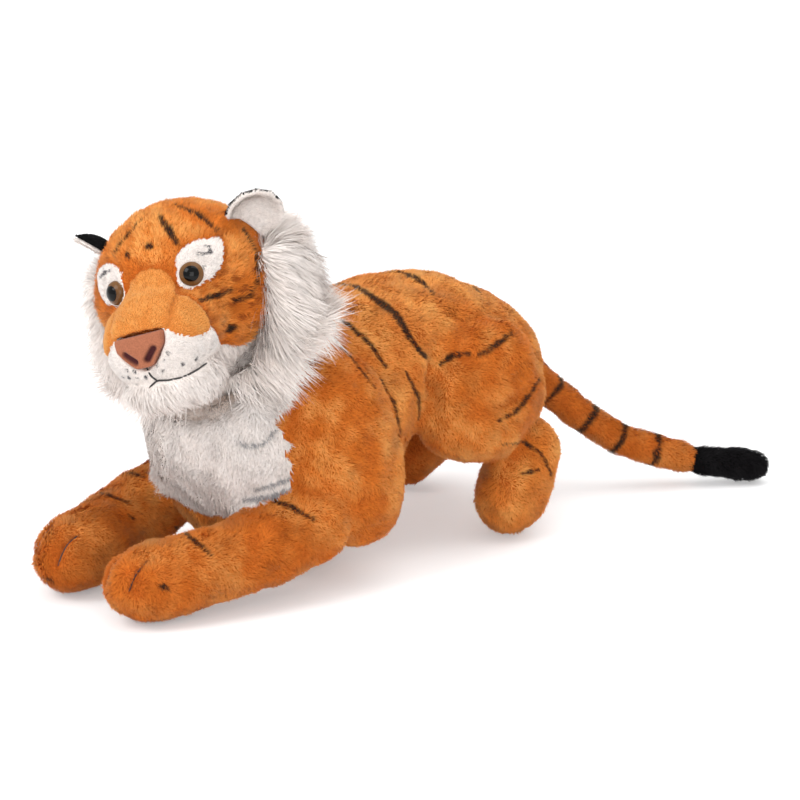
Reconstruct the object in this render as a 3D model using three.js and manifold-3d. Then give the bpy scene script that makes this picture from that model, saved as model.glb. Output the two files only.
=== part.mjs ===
// Plush tiger lying down: stuffed body, sewn legs, a turned head with a ruff of long pile, a tail at rest.
// Millimetres, +Z up. The tiger faces -Y and its left side is +X.
import * as THREE from "three";
import { mergeVertices } from "three/addons/utils/BufferGeometryUtils.js";
import Module from "manifold-3d";

const wasm = await Module();
wasm.setup();

// Clearances: between sewn pieces, and inside a turning seam
const seamGap = 0.3;
const jointGap = 0.9;
// Reach of the blocks and cones that cut the forms
const cutReach = 1300;

// Numbers of facets
const bigRing = 20;
const smallRing = 12;
const eyeRing = 12;
const ballDetail = 3;
const neckBallDetail = 4;
const threadSides = 5;

// A form's table has a row for each place along it: place across, along and up, then half width and half
// height there, all as shares of the form's sizes
const torsoWidth = 226;
const torsoLength = 520;
const torsoHeight = 300;
const chestFront = -200;
const chestDome = 50;
const rumpDome = 100;
const torsoRingLean = 0.5;
const torsoShares = [
  [0, 0, 0.533, 0.345, 0.2],
  [0, 0.073, 0.555, 0.42, 0.315],
  [0, 0.183, 0.515, 0.469, 0.46],
  [0, 0.312, 0.4636, 0.496, 0.49],
  [0, 0.44, 0.59, 0.496, 0.385],
  [0, 0.5, 0.675, 0.48, 0.315],
  [0, 0.56, 0.708, 0.469, 0.288],
  [0, 0.688, 0.708, 0.469, 0.282],
  [0, 0.826, 0.62, 0.45, 0.262],
  [0, 1, 0.48, 0.36, 0.22],
];

// White chest panel: thickness of its pile, and half of its outline from the front
const bibThickness = 5;
const bibWidth = 208;
const bibHeight = 215;
const bibBottom = 80;
const bibReachBack = 130;
const bibShares = [
  [0, 0],
  [0.3, 0.05],
  [0.5, 0.19],
  [0.49, 0.42],
  [0.34, 1],
];

// Shoulder with the upper leg, raised a little above the ground
const shoulderWidth = 92;
const shoulderDepth = 148;
const shoulderHeight = 222;
const shoulderSide = 108;
const shoulderPlace = -42;
const shoulderBase = 38;
const shoulderTopDome = 60;
const shoulderBaseDome = 42;
const shoulderShares = [
  [-0.41, -0.12, 1, 0.34, 0.36],
  [-0.14, -0.07, 0.73, 0.45, 0.46],
  [-0.03, -0.02, 0.43, 0.5, 0.5],
  [0, 0, 0.2, 0.5, 0.49],
  [0, 0, 0, 0.44, 0.42],
];

// Foreleg from the elbow seam to the toes, drawn in towards the middle, resting on its paw
const elbowBall = 47;
const elbowSide = 106;
const elbowPlace = -95;
const elbowHeight = 80;
const forelegLength = 243;
const forelegDrawIn = 47;
const forelegWidth = 92;
const forelegHeight = 90;
const pawHeight = 43.95;
const pawDome = 44;
const forelegShares = [
  [0, 0, 1, 0.49, 0.5],
  [-0.1, 0.25, 0.55, 0.49, 0.5],
  [-0.45, 0.53, 0.24, 0.48, 0.49],
  [-0.9, 0.8, 0, 0.5, 0.5],
  [-1, 1, -0.1, 0.5, 0.46],
];
const forelegTurnIn = 4;
const forelegTurnOut = 20;

// Haunch
const haunchWidth = 114;
const haunchDepth = 180;
const haunchHeight = 166;
const haunchSide = 85;
const haunchPlace = 166;
const haunchBase = 92;
const haunchDome = 60;
const haunchShares = [
  [-0.22, -0.1, 1, 0.34, 0.28],
  [0, -0.03, 0.68, 0.47, 0.46],
  [0.06, 0.02, 0.35, 0.5, 0.5],
  [0.12, 0.1, 0, 0.42, 0.38],
];

// Hind foot below its seam in the haunch
const footBall = 43;
const footSide = 100;
const footPlace = 228;
const footSeamHeight = 92;
const footLength = 76;
const footWidth = 84;
const footHeight = 78;
const footDome = 44;
const footShares = [
  [0, 0, 1, 0.47, 0.5],
  [0.04, 0.12, 0.76, 0.49, 0.55],
  [0.08, 0.42, 0.533, 0.5, 0.635],
  [0.1, 1, 0.5, 0.46, 0.52],
];
const footTurn = 12;
// The right hind leg lies further back than the left one
const rightHindBack = 42;

// Tail from its seam in the rump down to the ground, with a black tip
const tailBall = 28;
const tailRoot = 308;
const tailRootHeight = 168;
const tailReachBack = 264;
const tailReachSide = 168;
const tailThickness = 47;
const tailRest = 19.2;
const tailDome = 24;
const tailTipLength = 99;
const tailShares = [
  [0, 0, 1, 0.5],
  [0.07, 0.133, 0.74, 0.5],
  [0.18, 0.277, 0.5, 0.49],
  [0.357, 0.432, 0.27, 0.48],
  [0.536, 0.602, 0.14, 0.48],
  [0.744, 0.782, 0.05, 0.48],
  [1, 1, 0, 0.48],
];
const tailTurn = 25;

// Neck seam: a stuffed ball between the torso and the head, its lean above level, the head's range and the
// angle left free at its end
const neckBall = 64;
const neckPlace = -122;
const neckHeight = 258;
const neckLean = 54;
const neckConeAngle = 86;
const headNod = 8;
const headNodSpare = 0.3;
const headTurn = 15;

// Head: its centre, its turn, roll and nod as sewn, and its sizes without the muzzle
const headPlace = -176;
const headHeight = 335;
const headYaw = 28;
const headRoll = -18;
const headPitch = -3;
const skullWidth = 196;
const skullDepth = 178;
const skullHeight = 186;
const skullDome = 84;
const skullShares = [
  [0, -0.5, 0, 0.46, 0.44],
  [0, -0.25, 0, 0.5, 0.5],
  [0, 0, 0, 0.5, 0.5],
  [0, 0.25, 0, 0.49, 0.49],
  [0, 0.5, 0, 0.42, 0.42],
];

// Muzzle: its sizes, the seams between its panels, and the nose
const muzzleWidth = 126;
const muzzleLength = 100;
const muzzleHeight = 104;
const muzzleBack = -50;
const muzzleDrop = -28;
const muzzleDome = 30;
const lipLine = -44;
const bridgeBackWidth = 64;
const bridgeFrontWidth = 50;
const muzzleShares = [
  [0, 0, 0, 0.5, 0.5],
  [0, 0.38, -0.08, 0.5, 0.5],
  [0, 0.72, -0.18, 0.43, 0.43],
  [0, 1, -0.24, 0.35, 0.35],
];
const noseWidth = 56;
const noseHeight = 34;
const noseTop = -27;
const noseDepth = 18;
const nosePad = 2;
const noseShares = [
  [0.5, 0],
  [0.48, 0.4],
  [0.16, 1],
];

// Chin below the muzzle
const chinWidth = 104;
const chinDepth = 106;
const chinHeight = 60;
const chinPlace = -89;
const chinDrop = -81;
const chinDome = 34;
const chinShares = [
  [-0.5, 0, 0, 0.46, 0.46],
  [0, 0, 0, 0.5, 0.5],
  [0.5, 0, 0, 0.46, 0.46],
];

// White patch over each eye: thickness of its pile, and its outline from the front
const browThickness = 3;
const browWidth = 50;
const browHeight = 50;
const browSide = 57;
const browRise = 28;
const browShares = [
  [-0.5, 0.08],
  [-0.24, 0.4],
  [0.08, 0.5],
  [0.44, 0.24],
  [0.46, -0.16],
  [0.24, -0.44],
  [-0.1, -0.48],
  [-0.5, -0.3],
];

// Eyes: a domed button with a pupil, its shank through the fabric and a locking washer inside
const eyeDiameter = 26;
const eyeBulge = 8;
const eyeSink = 1.5;
const pupilDiameter = 15;
const pupilFloor = 1;
const pupilRim = 4.9;
const pupilBulge = 2.2;
const shankDiameter = 5;
const shankLength = 16;
const fabricDepth = 5;
const washerDiameter = 18;
const washerThickness = 2.5;
const eyeSpread = 46;
const eyeRise = 16;
const eyeYaw = 24;
const eyePitch = 8;

// Ears: two layers of a shallow dish, the left one more open than the right
const earDish = 46;
const earRadius = 35;
const earLayer = 4;
const earSeat = 113;
const earPlace = 10;
const leftEarLean = 55;
const rightEarLean = 49;
const leftEarOpen = 45;
const rightEarOpen = 70;
const earFold = 10;
const earFoldForward = 7;
const earClearance = 12;

// Ruff of long pile round each cheek
const ruffWidth = 130;
const ruffHeight = 250;
const ruffDepth = 92;
const ruffPlace = 32;
const ruffDome = 30;
const ruffShares = [
  [0.7, 0, 0.22, 0.3, 0.12],
  [0.76, 0, 0.09, 0.45, 0.2],
  [0.82, 0, -0.09, 0.5, 0.24],
  [0.8, 0, -0.29, 0.5, 0.25],
  [0.6, -0.04, -0.42, 0.46, 0.23],
  [0.3, -0.1, -0.47, 0.42, 0.21],
  [0.01, -0.14, -0.47, 0.38, 0.2],
];

// Stitches of the mouth and between the toes
const threadThickness = 2;
const mouthHalfWidth = 46;
const mouthHeight = -78;
const mouthShares = [
  [1, 0.1],
  [0.7, 0.01],
  [0.3, -0.02],
];
const toeSpread = 44;
const toeAngles = [72, 56, 40, 24, 8];

const { degToRad } = THREE.MathUtils;
const sideways = new THREE.Vector3(1, 0, 0);
const backwards = new THREE.Vector3(0, 1, 0);
const upwards = new THREE.Vector3(0, 0, 1);

// A copy that keeps only its places, with shared corners merged
function welded(geometry) {
  return mergeVertices(geometry.clone().deleteAttribute("normal").deleteAttribute("uv"));
}

// A solid for joining and cutting
function solidOf(geometry) {
  const merged = welded(geometry);
  return new wasm.Manifold(new wasm.Mesh({
    numProp: 3,
    vertProperties: new Float32Array(merged.attributes.position.array),
    triVerts: new Uint32Array(merged.index.array),
  }));
}

// The geometry of a solid
function geometryOf(solid) {
  const mesh = solid.getMesh();
  const geometry = new THREE.BufferGeometry();
  geometry.setAttribute("position", new THREE.BufferAttribute(mesh.vertProperties, 3));
  geometry.setIndex(new THREE.BufferAttribute(mesh.triVerts, 1));
  geometry.computeVertexNormals();
  return geometry;
}

function cut(geometry, ...cutters) {
  return geometryOf(cutters.reduce((solid, cutter) => solid.subtract(solidOf(cutter)), solidOf(geometry)));
}

function join(geometry, other) {
  return geometryOf(solidOf(geometry).add(solidOf(other)));
}

function keep(geometry, keeper) {
  return geometryOf(solidOf(geometry).intersect(solidOf(keeper)));
}

// A copy whose surface lies a distance further out
function grown(geometry, distance) {
  const copy = welded(geometry);
  copy.computeVertexNormals();
  const { position, normal } = copy.attributes;
  const place = new THREE.Vector3();
  const outwards = new THREE.Vector3();
  for (let i = 0; i < position.count; i++) {
    place.fromBufferAttribute(position, i);
    outwards.fromBufferAttribute(normal, i);
    place.addScaledVector(outwards, distance);
    position.setXYZ(i, place.x, place.y, place.z);
  }
  return copy;
}

// The same piece for the other side
function mirrored(geometry) {
  const copy = welded(geometry).scale(-1, 1, 1);
  const corners = copy.index.array;
  for (let i = 0; i < corners.length; i += 3) {
    [corners[i], corners[i + 1]] = [corners[i + 1], corners[i]];
  }
  return copy;
}

function moved(geometry, matrix) {
  return geometry.clone().applyMatrix4(matrix);
}

// The places that a neighbour takes, seen from a piece that turns about an axis through a point
function swept(neighbour, point, axis, angles) {
  const there = new THREE.Matrix4().makeTranslation(point);
  const back = new THREE.Matrix4().makeTranslation(point.clone().negate());
  return angles.map((angle) => {
    const turn = new THREE.Matrix4().makeRotationAxis(axis, degToRad(-angle));
    return moved(grown(neighbour, jointGap), there.clone().multiply(turn).multiply(back));
  });
}

// Centres and half sizes of a form's rings from its table of shares
function rings(rows, start, [across, along, up], [width, height]) {
  return {
    centres: rows.map(([x, y, z]) => new THREE.Vector3(x * across, y * along, z * up).add(start)),
    halves: rows.map((row) => new THREE.Vector3(row[3] * width, row[4] * height, 0)),
  };
}

// A stuffed form: oval rings along a smooth path that swell and taper, with a dome at each end. The rings
// stand square to the path, or with a lean below 1 only follow that share of its slope.
function stuffedForm({
  centres,
  halves,
  domes,
  lean = 1,
  widthAlong = sideways,
  around = smallRing,
  along = 10,
}) {
  const path = new THREE.CatmullRomCurve3(centres);
  const swell = new THREE.CatmullRomCurve3(halves);
  const length = path.getLength();
  const corners = [];
  const faces = [];
  for (let k = 0; k <= along; k++) {
    const share = (1 - Math.cos(Math.PI * k / along)) / 2;
    const centre = path.getPointAt(share);
    if (k === 0 || k === along) {
      corners.push(...centre.toArray());
      continue;
    }
    const tangent = backwards.clone().lerp(path.getTangentAt(share), lean).normalize();
    const side = widthAlong.clone().projectOnPlane(tangent).normalize();
    const rise = new THREE.Vector3().crossVectors(side, tangent);
    const half = swell.getPoint(path.getUtoTmapping(share));
    const fromEnd = Math.min(1, share * length / domes[0], (1 - share) * length / domes[1]);
    const rounding = Math.sqrt(1 - (1 - fromEnd) ** 2);
    for (let j = 0; j < around; j++) {
      const angle = 2 * Math.PI * j / around;
      const corner = centre.clone();
      corner.addScaledVector(side, Math.cos(angle) * half.x * rounding);
      corner.addScaledVector(rise, Math.sin(angle) * half.y * rounding);
      corners.push(...corner.toArray());
    }
  }
  const first = 0;
  const last = corners.length / 3 - 1;
  const at = (k, j) => 1 + (k - 1) * around + j % around;
  for (let j = 0; j < around; j++) {
    faces.push(first, at(1, j), at(1, j + 1));
    faces.push(at(along - 1, j), last, at(along - 1, j + 1));
    for (let k = 1; k < along - 1; k++) {
      faces.push(at(k, j), at(k + 1, j), at(k + 1, j + 1));
      faces.push(at(k, j), at(k + 1, j + 1), at(k, j + 1));
    }
  }
  const geometry = new THREE.BufferGeometry();
  geometry.setAttribute("position", new THREE.Float32BufferAttribute(corners, 3));
  geometry.setIndex(faces);
  return geometry;
}

function ball(centre, radius, detail = ballDetail) {
  return welded(new THREE.IcosahedronGeometry(radius, detail)).translate(...centre.toArray());
}

// A large block whose face lies at a place and looks back along a direction
function block(place, direction) {
  const solid = new THREE.BoxGeometry(cutReach, cutReach, cutReach).translate(0, 0, cutReach / 2);
  solid.applyQuaternion(new THREE.Quaternion().setFromUnitVectors(upwards, direction));
  return solid.translate(...place.toArray());
}

// An outline of points across and up, run along Y between two places
function prism(outline, from, to) {
  const shape = new THREE.Shape(outline.map(([x, z]) => new THREE.Vector2(x, z)));
  const solid = new THREE.ExtrudeGeometry(shape, { depth: to - from, bevelEnabled: false });
  return solid.rotateX(Math.PI / 2).translate(0, to, 0);
}

// Half an outline from the bottom to the top, closed by its mirror image
function symmetrical(half) {
  return [...half, ...half.map(([x, z]) => [-x, z]).reverse()];
}

// A solid turned about the Y axis, from points of radius against distance forward
function turned(profile, segments) {
  const points = profile.map(([radius, forward]) => new THREE.Vector2(radius, -forward));
  return new THREE.LatheGeometry(points.reverse(), segments);
}

// Points of an arc about a centre on the axis, as radius against distance forward
function arc(centre, radius, rise, from, to, steps) {
  return Array.from({ length: steps + 1 }, (_, i) => {
    const angle = from + (to - from) * i / steps;
    return [radius * Math.cos(angle), centre + rise * Math.sin(angle)];
  });
}

// Where a line from outside towards a direction first meets a shape, lifted off its surface
function surfacePoint(geometry, start, direction, lift) {
  const shell = new THREE.Mesh(geometry, new THREE.MeshBasicMaterial({ side: THREE.DoubleSide }));
  const [hit] = new THREE.Raycaster(start, direction).intersectObject(shell);
  return hit.point.addScaledVector(direction, -lift);
}

// A sewn thread along a smooth line over a form, flattened where it lies on it
function thread(points, form) {
  const outline = Array.from({ length: threadSides }, (_, i) => {
    const angle = 2 * Math.PI * i / threadSides;
    return new THREE.Vector2(Math.cos(angle), Math.sin(angle)).multiplyScalar(threadThickness / 2);
  });
  const shape = new THREE.Shape(outline);
  const path = new THREE.CatmullRomCurve3(points);
  const cord = new THREE.ExtrudeGeometry(shape, { steps: 2 * points.length, extrudePath: path });
  return cut(cord, grown(form, seamGap));
}

const fabrics = {
  orange: { color: 0xd0762f, roughness: 0.95, metalness: 0 },
  tan: { color: 0xc98a45, roughness: 0.95, metalness: 0 },
  white: { color: 0xf0ece6, roughness: 0.95, metalness: 0 },
  black: { color: 0x1a1718, roughness: 0.95, metalness: 0 },
  nose: { color: 0x9c5742, roughness: 0.85, metalness: 0 },
  thread: { color: 0x2a2524, roughness: 0.8, metalness: 0 },
  iris: { color: 0x6d4c2c, roughness: 0.15, metalness: 0 },
  pupil: { color: 0x080707, roughness: 0.1, metalness: 0 },
  washer: { color: 0xe8e6e0, roughness: 0.5, metalness: 0 },
};

// A group whose origin is a pivot given in the places of the body or the head
function pivotGroup(parent, pivot, origin = new THREE.Vector3()) {
  const group = new THREE.Group();
  group.position.copy(pivot).sub(origin);
  group.userData.pivot = pivot;
  parent.add(group);
  return group;
}

// Adds a piece made in the places of the body or the head to a group at a pivot
function addPiece(group, name, geometry, fabric) {
  const pivot = group.userData.pivot ?? new THREE.Vector3();
  const placed = geometry.clone().translate(...pivot.clone().negate().toArray());
  const piece = new THREE.Mesh(placed, new THREE.MeshStandardMaterial(fabrics[fabric]));
  piece.name = name;
  group.add(piece);
}

const sides = [
  {
    side: "left",
    sign: 1,
    face: (geometry) => geometry.clone(),
    hindBack: 0,
    earLean: leftEarLean,
    earOpen: leftEarOpen,
  },
  {
    side: "right",
    sign: -1,
    face: mirrored,
    hindBack: rightHindBack,
    earLean: rightEarLean,
    earOpen: rightEarOpen,
  },
];

const tiger = new THREE.Group();
const body = new THREE.Group();
tiger.add(body);

// Seams that turn, on the left side where there are two
const elbow = new THREE.Vector3(elbowSide, elbowPlace, elbowHeight);
const footSeam = new THREE.Vector3(footSide, footPlace, footSeamHeight);
const tailSeam = new THREE.Vector3(0, tailRoot, tailRootHeight);
const neckSeam = new THREE.Vector3(0, neckPlace, neckHeight);
const neckAxis = new THREE.Vector3(0, -Math.cos(degToRad(neckLean)), Math.sin(degToRad(neckLean)));

// The forms of the body before their neighbours cut them
const torsoForm = stuffedForm({
  ...rings(
    torsoShares,
    new THREE.Vector3(0, chestFront, 0),
    [torsoWidth, torsoLength, torsoHeight],
    [torsoWidth, torsoHeight],
  ),
  domes: [chestDome, rumpDome],
  lean: torsoRingLean,
  around: bigRing,
  along: 16,
});
const shoulderForm = stuffedForm({
  ...rings(
    shoulderShares,
    new THREE.Vector3(shoulderSide, shoulderPlace, shoulderBase),
    [shoulderWidth, shoulderDepth, shoulderHeight],
    [shoulderWidth, shoulderDepth],
  ),
  domes: [shoulderTopDome, shoulderBaseDome],
});
const forelegRings = rings(
  forelegShares,
  new THREE.Vector3(elbowSide, elbowPlace, pawHeight),
  [forelegDrawIn, -forelegLength, elbowHeight - pawHeight],
  [forelegWidth, forelegHeight],
);
const forelegForm = stuffedForm({ ...forelegRings, domes: [seamGap, pawDome] });
const haunchForm = stuffedForm({
  ...rings(
    haunchShares,
    new THREE.Vector3(haunchSide, haunchPlace, haunchBase),
    [haunchWidth, haunchDepth, haunchHeight],
    [haunchWidth, haunchDepth],
  ),
  domes: [haunchDome, haunchDome],
});
const footForm = stuffedForm({
  ...rings(
    footShares,
    new THREE.Vector3(footSide, footPlace, 0),
    [footWidth, -footLength, footSeamHeight],
    [footWidth, footHeight],
  ),
  domes: [seamGap, footDome],
});
const tailRings = rings(
  tailShares.map(([x, y, z, half]) => [x, y, z, half, half]),
  new THREE.Vector3(0, tailRoot, tailRest),
  [tailReachSide, tailReachBack, tailRootHeight - tailRest],
  [tailThickness, tailThickness],
);
const tailForm = stuffedForm({ ...tailRings, domes: [seamGap, tailDome], widthAlong: upwards, along: 16 });
const ground = block(new THREE.Vector3(), upwards.clone().negate());

// Rooms for the seams in the torso, shoulder and haunch
const neckRoom = ball(neckSeam, neckBall + jointGap, neckBallDetail);
const elbowRoom = ball(elbow, elbowBall + jointGap);
const footRoom = ball(footSeam, footBall + jointGap);
const tailRoom = ball(tailSeam, tailBall + jointGap);

// A wide cone with its point in the neck seam: what lies ahead of it, or what lies behind it
function neckCone(angle, ahead) {
  const edge = new THREE.Vector2(Math.sin(degToRad(angle)), Math.cos(degToRad(angle)));
  edge.multiplyScalar(cutReach);
  const far = ahead ? cutReach : -cutReach;
  const profile = [new THREE.Vector2(0, 0), edge, new THREE.Vector2(edge.x, far), new THREE.Vector2(0, far)];
  const cone = new THREE.LatheGeometry(ahead ? profile : profile.reverse(), bigRing);
  cone.applyQuaternion(new THREE.Quaternion().setFromUnitVectors(backwards, neckAxis));
  return cone.translate(...neckSeam.toArray());
}
const headRoom = neckCone(neckConeAngle + headNod + headNodSpare, true);
// The shoulders end a little behind the torso's cut, so that the two cuts don't lie in one plane
const headRoomBySide = headRoom.clone().translate(...neckAxis.clone().multiplyScalar(-seamGap).toArray());

const legRooms = sides.flatMap(({ face, hindBack }) => [
  face(elbowRoom),
  face(footRoom).translate(0, hindBack, 0),
]);
const torso = cut(torsoForm, neckRoom, headRoom, tailRoom, ...legRooms, ground);
addPiece(body, "torso", torso, "orange");

// Two stitches over the front of a paw, on each side of the middle of its last ring but one
const pawCentre = forelegRings.centres.at(-2);
const toeThreads = [-1, 1].map((toe) => {
  const points = toeAngles.map((angle) => {
    const out = new THREE.Vector3(0, -Math.cos(degToRad(angle)), Math.sin(degToRad(angle)));
    const from = pawCentre.clone().addScaledVector(out, forelegLength);
    from.x += toe * toeSpread / 2;
    return surfacePoint(forelegForm, from, out.negate(), threadThickness);
  });
  return thread(points, forelegForm);
});

// Legs, each made in the places of the left side and then faced to its own
const forelegTurns = [-forelegTurnIn, forelegTurnOut];
const footTurns = [-footTurn, footTurn];
for (const { side, sign, face, hindBack } of sides) {
  const torsoHere = face(torsoForm);
  const shoulder = cut(shoulderForm, grown(torsoHere, seamGap), elbowRoom, headRoomBySide);
  addPiece(body, `shoulder_${side}`, face(shoulder), "orange");
  const forelegOutside = cut(
    forelegForm,
    ...swept(shoulderForm, elbow, upwards, forelegTurns),
    ...swept(torsoHere, elbow, upwards, forelegTurns),
  );
  const foreleg = cut(join(forelegOutside, ball(elbow, elbowBall)), ground);
  const legGroup = pivotGroup(body, elbow.clone().setX(sign * elbow.x));
  addPiece(legGroup, `foreleg_${side}`, face(foreleg), "orange");
  toeThreads.forEach((stitch, i) => {
    addPiece(legGroup, `toe_stitch_${side}_${i + 1}`, face(stitch), "thread");
  });
  torsoHere.translate(0, -hindBack, 0);
  const haunch = cut(haunchForm, grown(torsoHere, seamGap), footRoom);
  addPiece(body, `haunch_${side}`, face(haunch).translate(0, hindBack, 0), "orange");
  const footOutside = cut(
    footForm,
    ...swept(haunchForm, footSeam, upwards, footTurns),
    ...swept(torsoHere, footSeam, upwards, footTurns),
  );
  const foot = cut(join(footOutside, ball(footSeam, footBall)), ground);
  const footGroup = pivotGroup(body, new THREE.Vector3(sign * footSeam.x, footSeam.y + hindBack, footSeam.z));
  addPiece(footGroup, `hind_foot_${side}`, face(foot).translate(0, hindBack, 0), "orange");
}

// Chest panel: a layer over the front of the torso, inside its outline
const bibOutline = symmetrical(bibShares.map(([x, z]) => [x * bibWidth, bibBottom + z * bibHeight]));
const bibLayer = cut(grown(torsoForm, bibThickness), grown(torsoForm, seamGap));
const bib = cut(
  keep(bibLayer, prism(bibOutline, chestFront - bibReachBack, chestFront + bibReachBack)),
  neckRoom,
  headRoom,
  ...sides.flatMap(({ face }) => [
    face(grown(shoulderForm, seamGap)),
    face(elbowRoom),
    ...swept(forelegForm, elbow, upwards, forelegTurns.map((turn) => -turn)).map(face),
  ]),
);
addPiece(body, "chest_bib", bib, "white");

// Tail with its black tip, parted square to its path
const tailOutside = cut(tailForm, ...swept(torsoForm, tailSeam, upwards, [-tailTurn, tailTurn]));
const tailPath = new THREE.CatmullRomCurve3(tailRings.centres);
const tipShare = 1 - tailTipLength / tailPath.getLength();
const tipPlace = tailPath.getPointAt(tipShare);
const tipAlong = tailPath.getTangentAt(tipShare);
const tailGroup = pivotGroup(body, tailSeam);
const tailWhole = join(tailOutside, ball(tailSeam, tailBall));
addPiece(tailGroup, "tail", cut(tailWhole, block(tipPlace, tipAlong), ground), "orange");
const tailTip = keep(tailForm, block(tipPlace.clone().addScaledVector(tipAlong, seamGap), tipAlong));
addPiece(tailGroup, "tail_tip", cut(tailTip, ground), "black");

// Neck
const neckGroup = pivotGroup(body, neckSeam);
addPiece(neckGroup, "neck", ball(neckSeam, neckBall, neckBallDetail), "white");

// The head's own places: its centre is the origin, it faces -Y and its left side is +X
const headCentre = new THREE.Vector3(0, headPlace, headHeight);
const head = new THREE.Group();
head.position.copy(headCentre).sub(neckSeam);
head.rotation.set(degToRad(headPitch), degToRad(headRoll), degToRad(headYaw), "ZYX");
neckGroup.add(head);
tiger.updateMatrixWorld(true);
const toHead = head.matrixWorld.clone().invert();
const neckInHead = moved(neckRoom, toHead);
const bodyInHead = moved(neckCone(neckConeAngle, false), toHead);

const skullForm = stuffedForm({
  ...rings(
    skullShares,
    new THREE.Vector3(),
    [skullWidth, skullDepth, skullHeight],
    [skullWidth, skullHeight],
  ),
  domes: [skullDome, skullDome],
  around: bigRing,
  along: 12,
});
const muzzleForm = stuffedForm({
  ...rings(
    muzzleShares,
    new THREE.Vector3(0, muzzleBack, muzzleDrop),
    [muzzleWidth, -muzzleLength, muzzleHeight],
    [muzzleWidth, muzzleHeight],
  ),
  domes: [seamGap, muzzleDome],
  around: bigRing,
});
const chinForm = stuffedForm({
  ...rings(
    chinShares,
    new THREE.Vector3(0, chinPlace, chinDrop),
    [chinWidth, chinDepth, chinHeight],
    [chinDepth, chinHeight],
  ),
  domes: [chinDome, chinDome],
  widthAlong: backwards,
});
const ruffForm = stuffedForm({
  ...rings(
    ruffShares,
    new THREE.Vector3(0, ruffPlace, 0),
    [ruffWidth, ruffDepth, ruffHeight],
    [ruffDepth, ruffWidth],
  ),
  domes: [ruffDome, ruffDome],
  widthAlong: backwards,
});
const skullRoom = grown(skullForm, seamGap);
const muzzleRoom = grown(muzzleForm, 2 * threadThickness);

// Eyes: each looks outward from the face, its shank and washer in a room inside the head
const eyeRadius = eyeDiameter / 2;
const shankRadius = shankDiameter / 2;
const quarter = Math.PI / 2;
const washerFront = -eyeSink - fabricDepth - seamGap;
const washerBack = washerFront - washerThickness;
const shankEnd = -eyeSink - shankLength;
const pupilRadius = pupilDiameter / 2;
const pupilShape = turned(
  [
    [0, pupilFloor + seamGap],
    [pupilRadius, pupilFloor + seamGap],
    ...arc(pupilRim, pupilRadius, pupilBulge, 0, quarter, 3),
  ],
  eyeRing,
);
const pupilRoom = turned(
  [
    [0, pupilFloor],
    [pupilRadius + seamGap, pupilFloor],
    [pupilRadius + seamGap, eyeDiameter],
    [0, eyeDiameter],
  ],
  eyeRing,
);
const eyeShape = turned(
  [
    [0, shankEnd],
    [shankRadius, shankEnd],
    [shankRadius, -eyeSink],
    ...arc(-eyeSink, eyeRadius, eyeBulge, 0, quarter, 3),
  ],
  eyeRing,
);
const washerShape = turned(
  [
    [shankRadius + seamGap, washerBack],
    [washerDiameter / 2, washerBack],
    [washerDiameter / 2, washerFront],
    [shankRadius + seamGap, washerFront],
    [shankRadius + seamGap, washerBack],
  ],
  eyeRing,
);
const eyeRoom = turned(
  [
    [0, shankEnd - seamGap],
    [shankRadius + seamGap, shankEnd - seamGap],
    [shankRadius + seamGap, washerBack - seamGap],
    [washerDiameter / 2 + seamGap, washerBack - seamGap],
    [washerDiameter / 2 + seamGap, washerFront + seamGap],
    [shankRadius + seamGap, washerFront + seamGap],
    [shankRadius + seamGap, -eyeSink - seamGap],
    [eyeRadius + seamGap, -eyeSink - seamGap],
    [eyeRadius + seamGap, eyeDiameter],
    [0, eyeDiameter],
  ],
  eyeRing,
);
function eyeMatrix(sign) {
  const ahead = new THREE.Vector3(sign * eyeSpread, -skullDepth, eyeRise);
  const seat = surfacePoint(skullForm, ahead, backwards, 0);
  const look = new THREE.Euler(degToRad(-eyePitch), 0, degToRad(sign * eyeYaw), "ZYX");
  return new THREE.Matrix4().makeRotationFromEuler(look).setPosition(seat);
}
const eyeRooms = sides.map(({ sign }) => moved(eyeRoom, eyeMatrix(sign)));

addPiece(head, "head", cut(skullForm, neckInHead, bodyInHead, ...eyeRooms), "orange");
for (const { side, sign } of sides) {
  const eye = new THREE.Group();
  eyeMatrix(sign).decompose(eye.position, eye.quaternion, eye.scale);
  head.add(eye);
  addPiece(eye, `eye_${side}`, cut(eyeShape, pupilRoom), "iris");
  addPiece(eye, `eye_pupil_${side}`, pupilShape, "pupil");
  addPiece(eye, `eye_washer_${side}`, washerShape, "washer");
}

// Muzzle panels in front of the skull, parted by thin seams
const muzzleFront = muzzleBack - muzzleLength;
function noseOutline(margin) {
  const half = noseShares.map(([x, z]) => [x * noseWidth + margin, noseTop - z * noseHeight]);
  half[0][1] += margin;
  half[half.length - 1][1] -= margin;
  return symmetrical(half.reverse());
}
const noseFront = muzzleFront - noseDepth;
const noseBack = muzzleFront + noseDepth;
const noseRoom = prism(noseOutline(seamGap), noseFront, noseBack + seamGap);
const nose = keep(grown(muzzleForm, nosePad), prism(noseOutline(0), noseFront, noseBack));
addPiece(head, "nose", nose, "nose");

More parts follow.
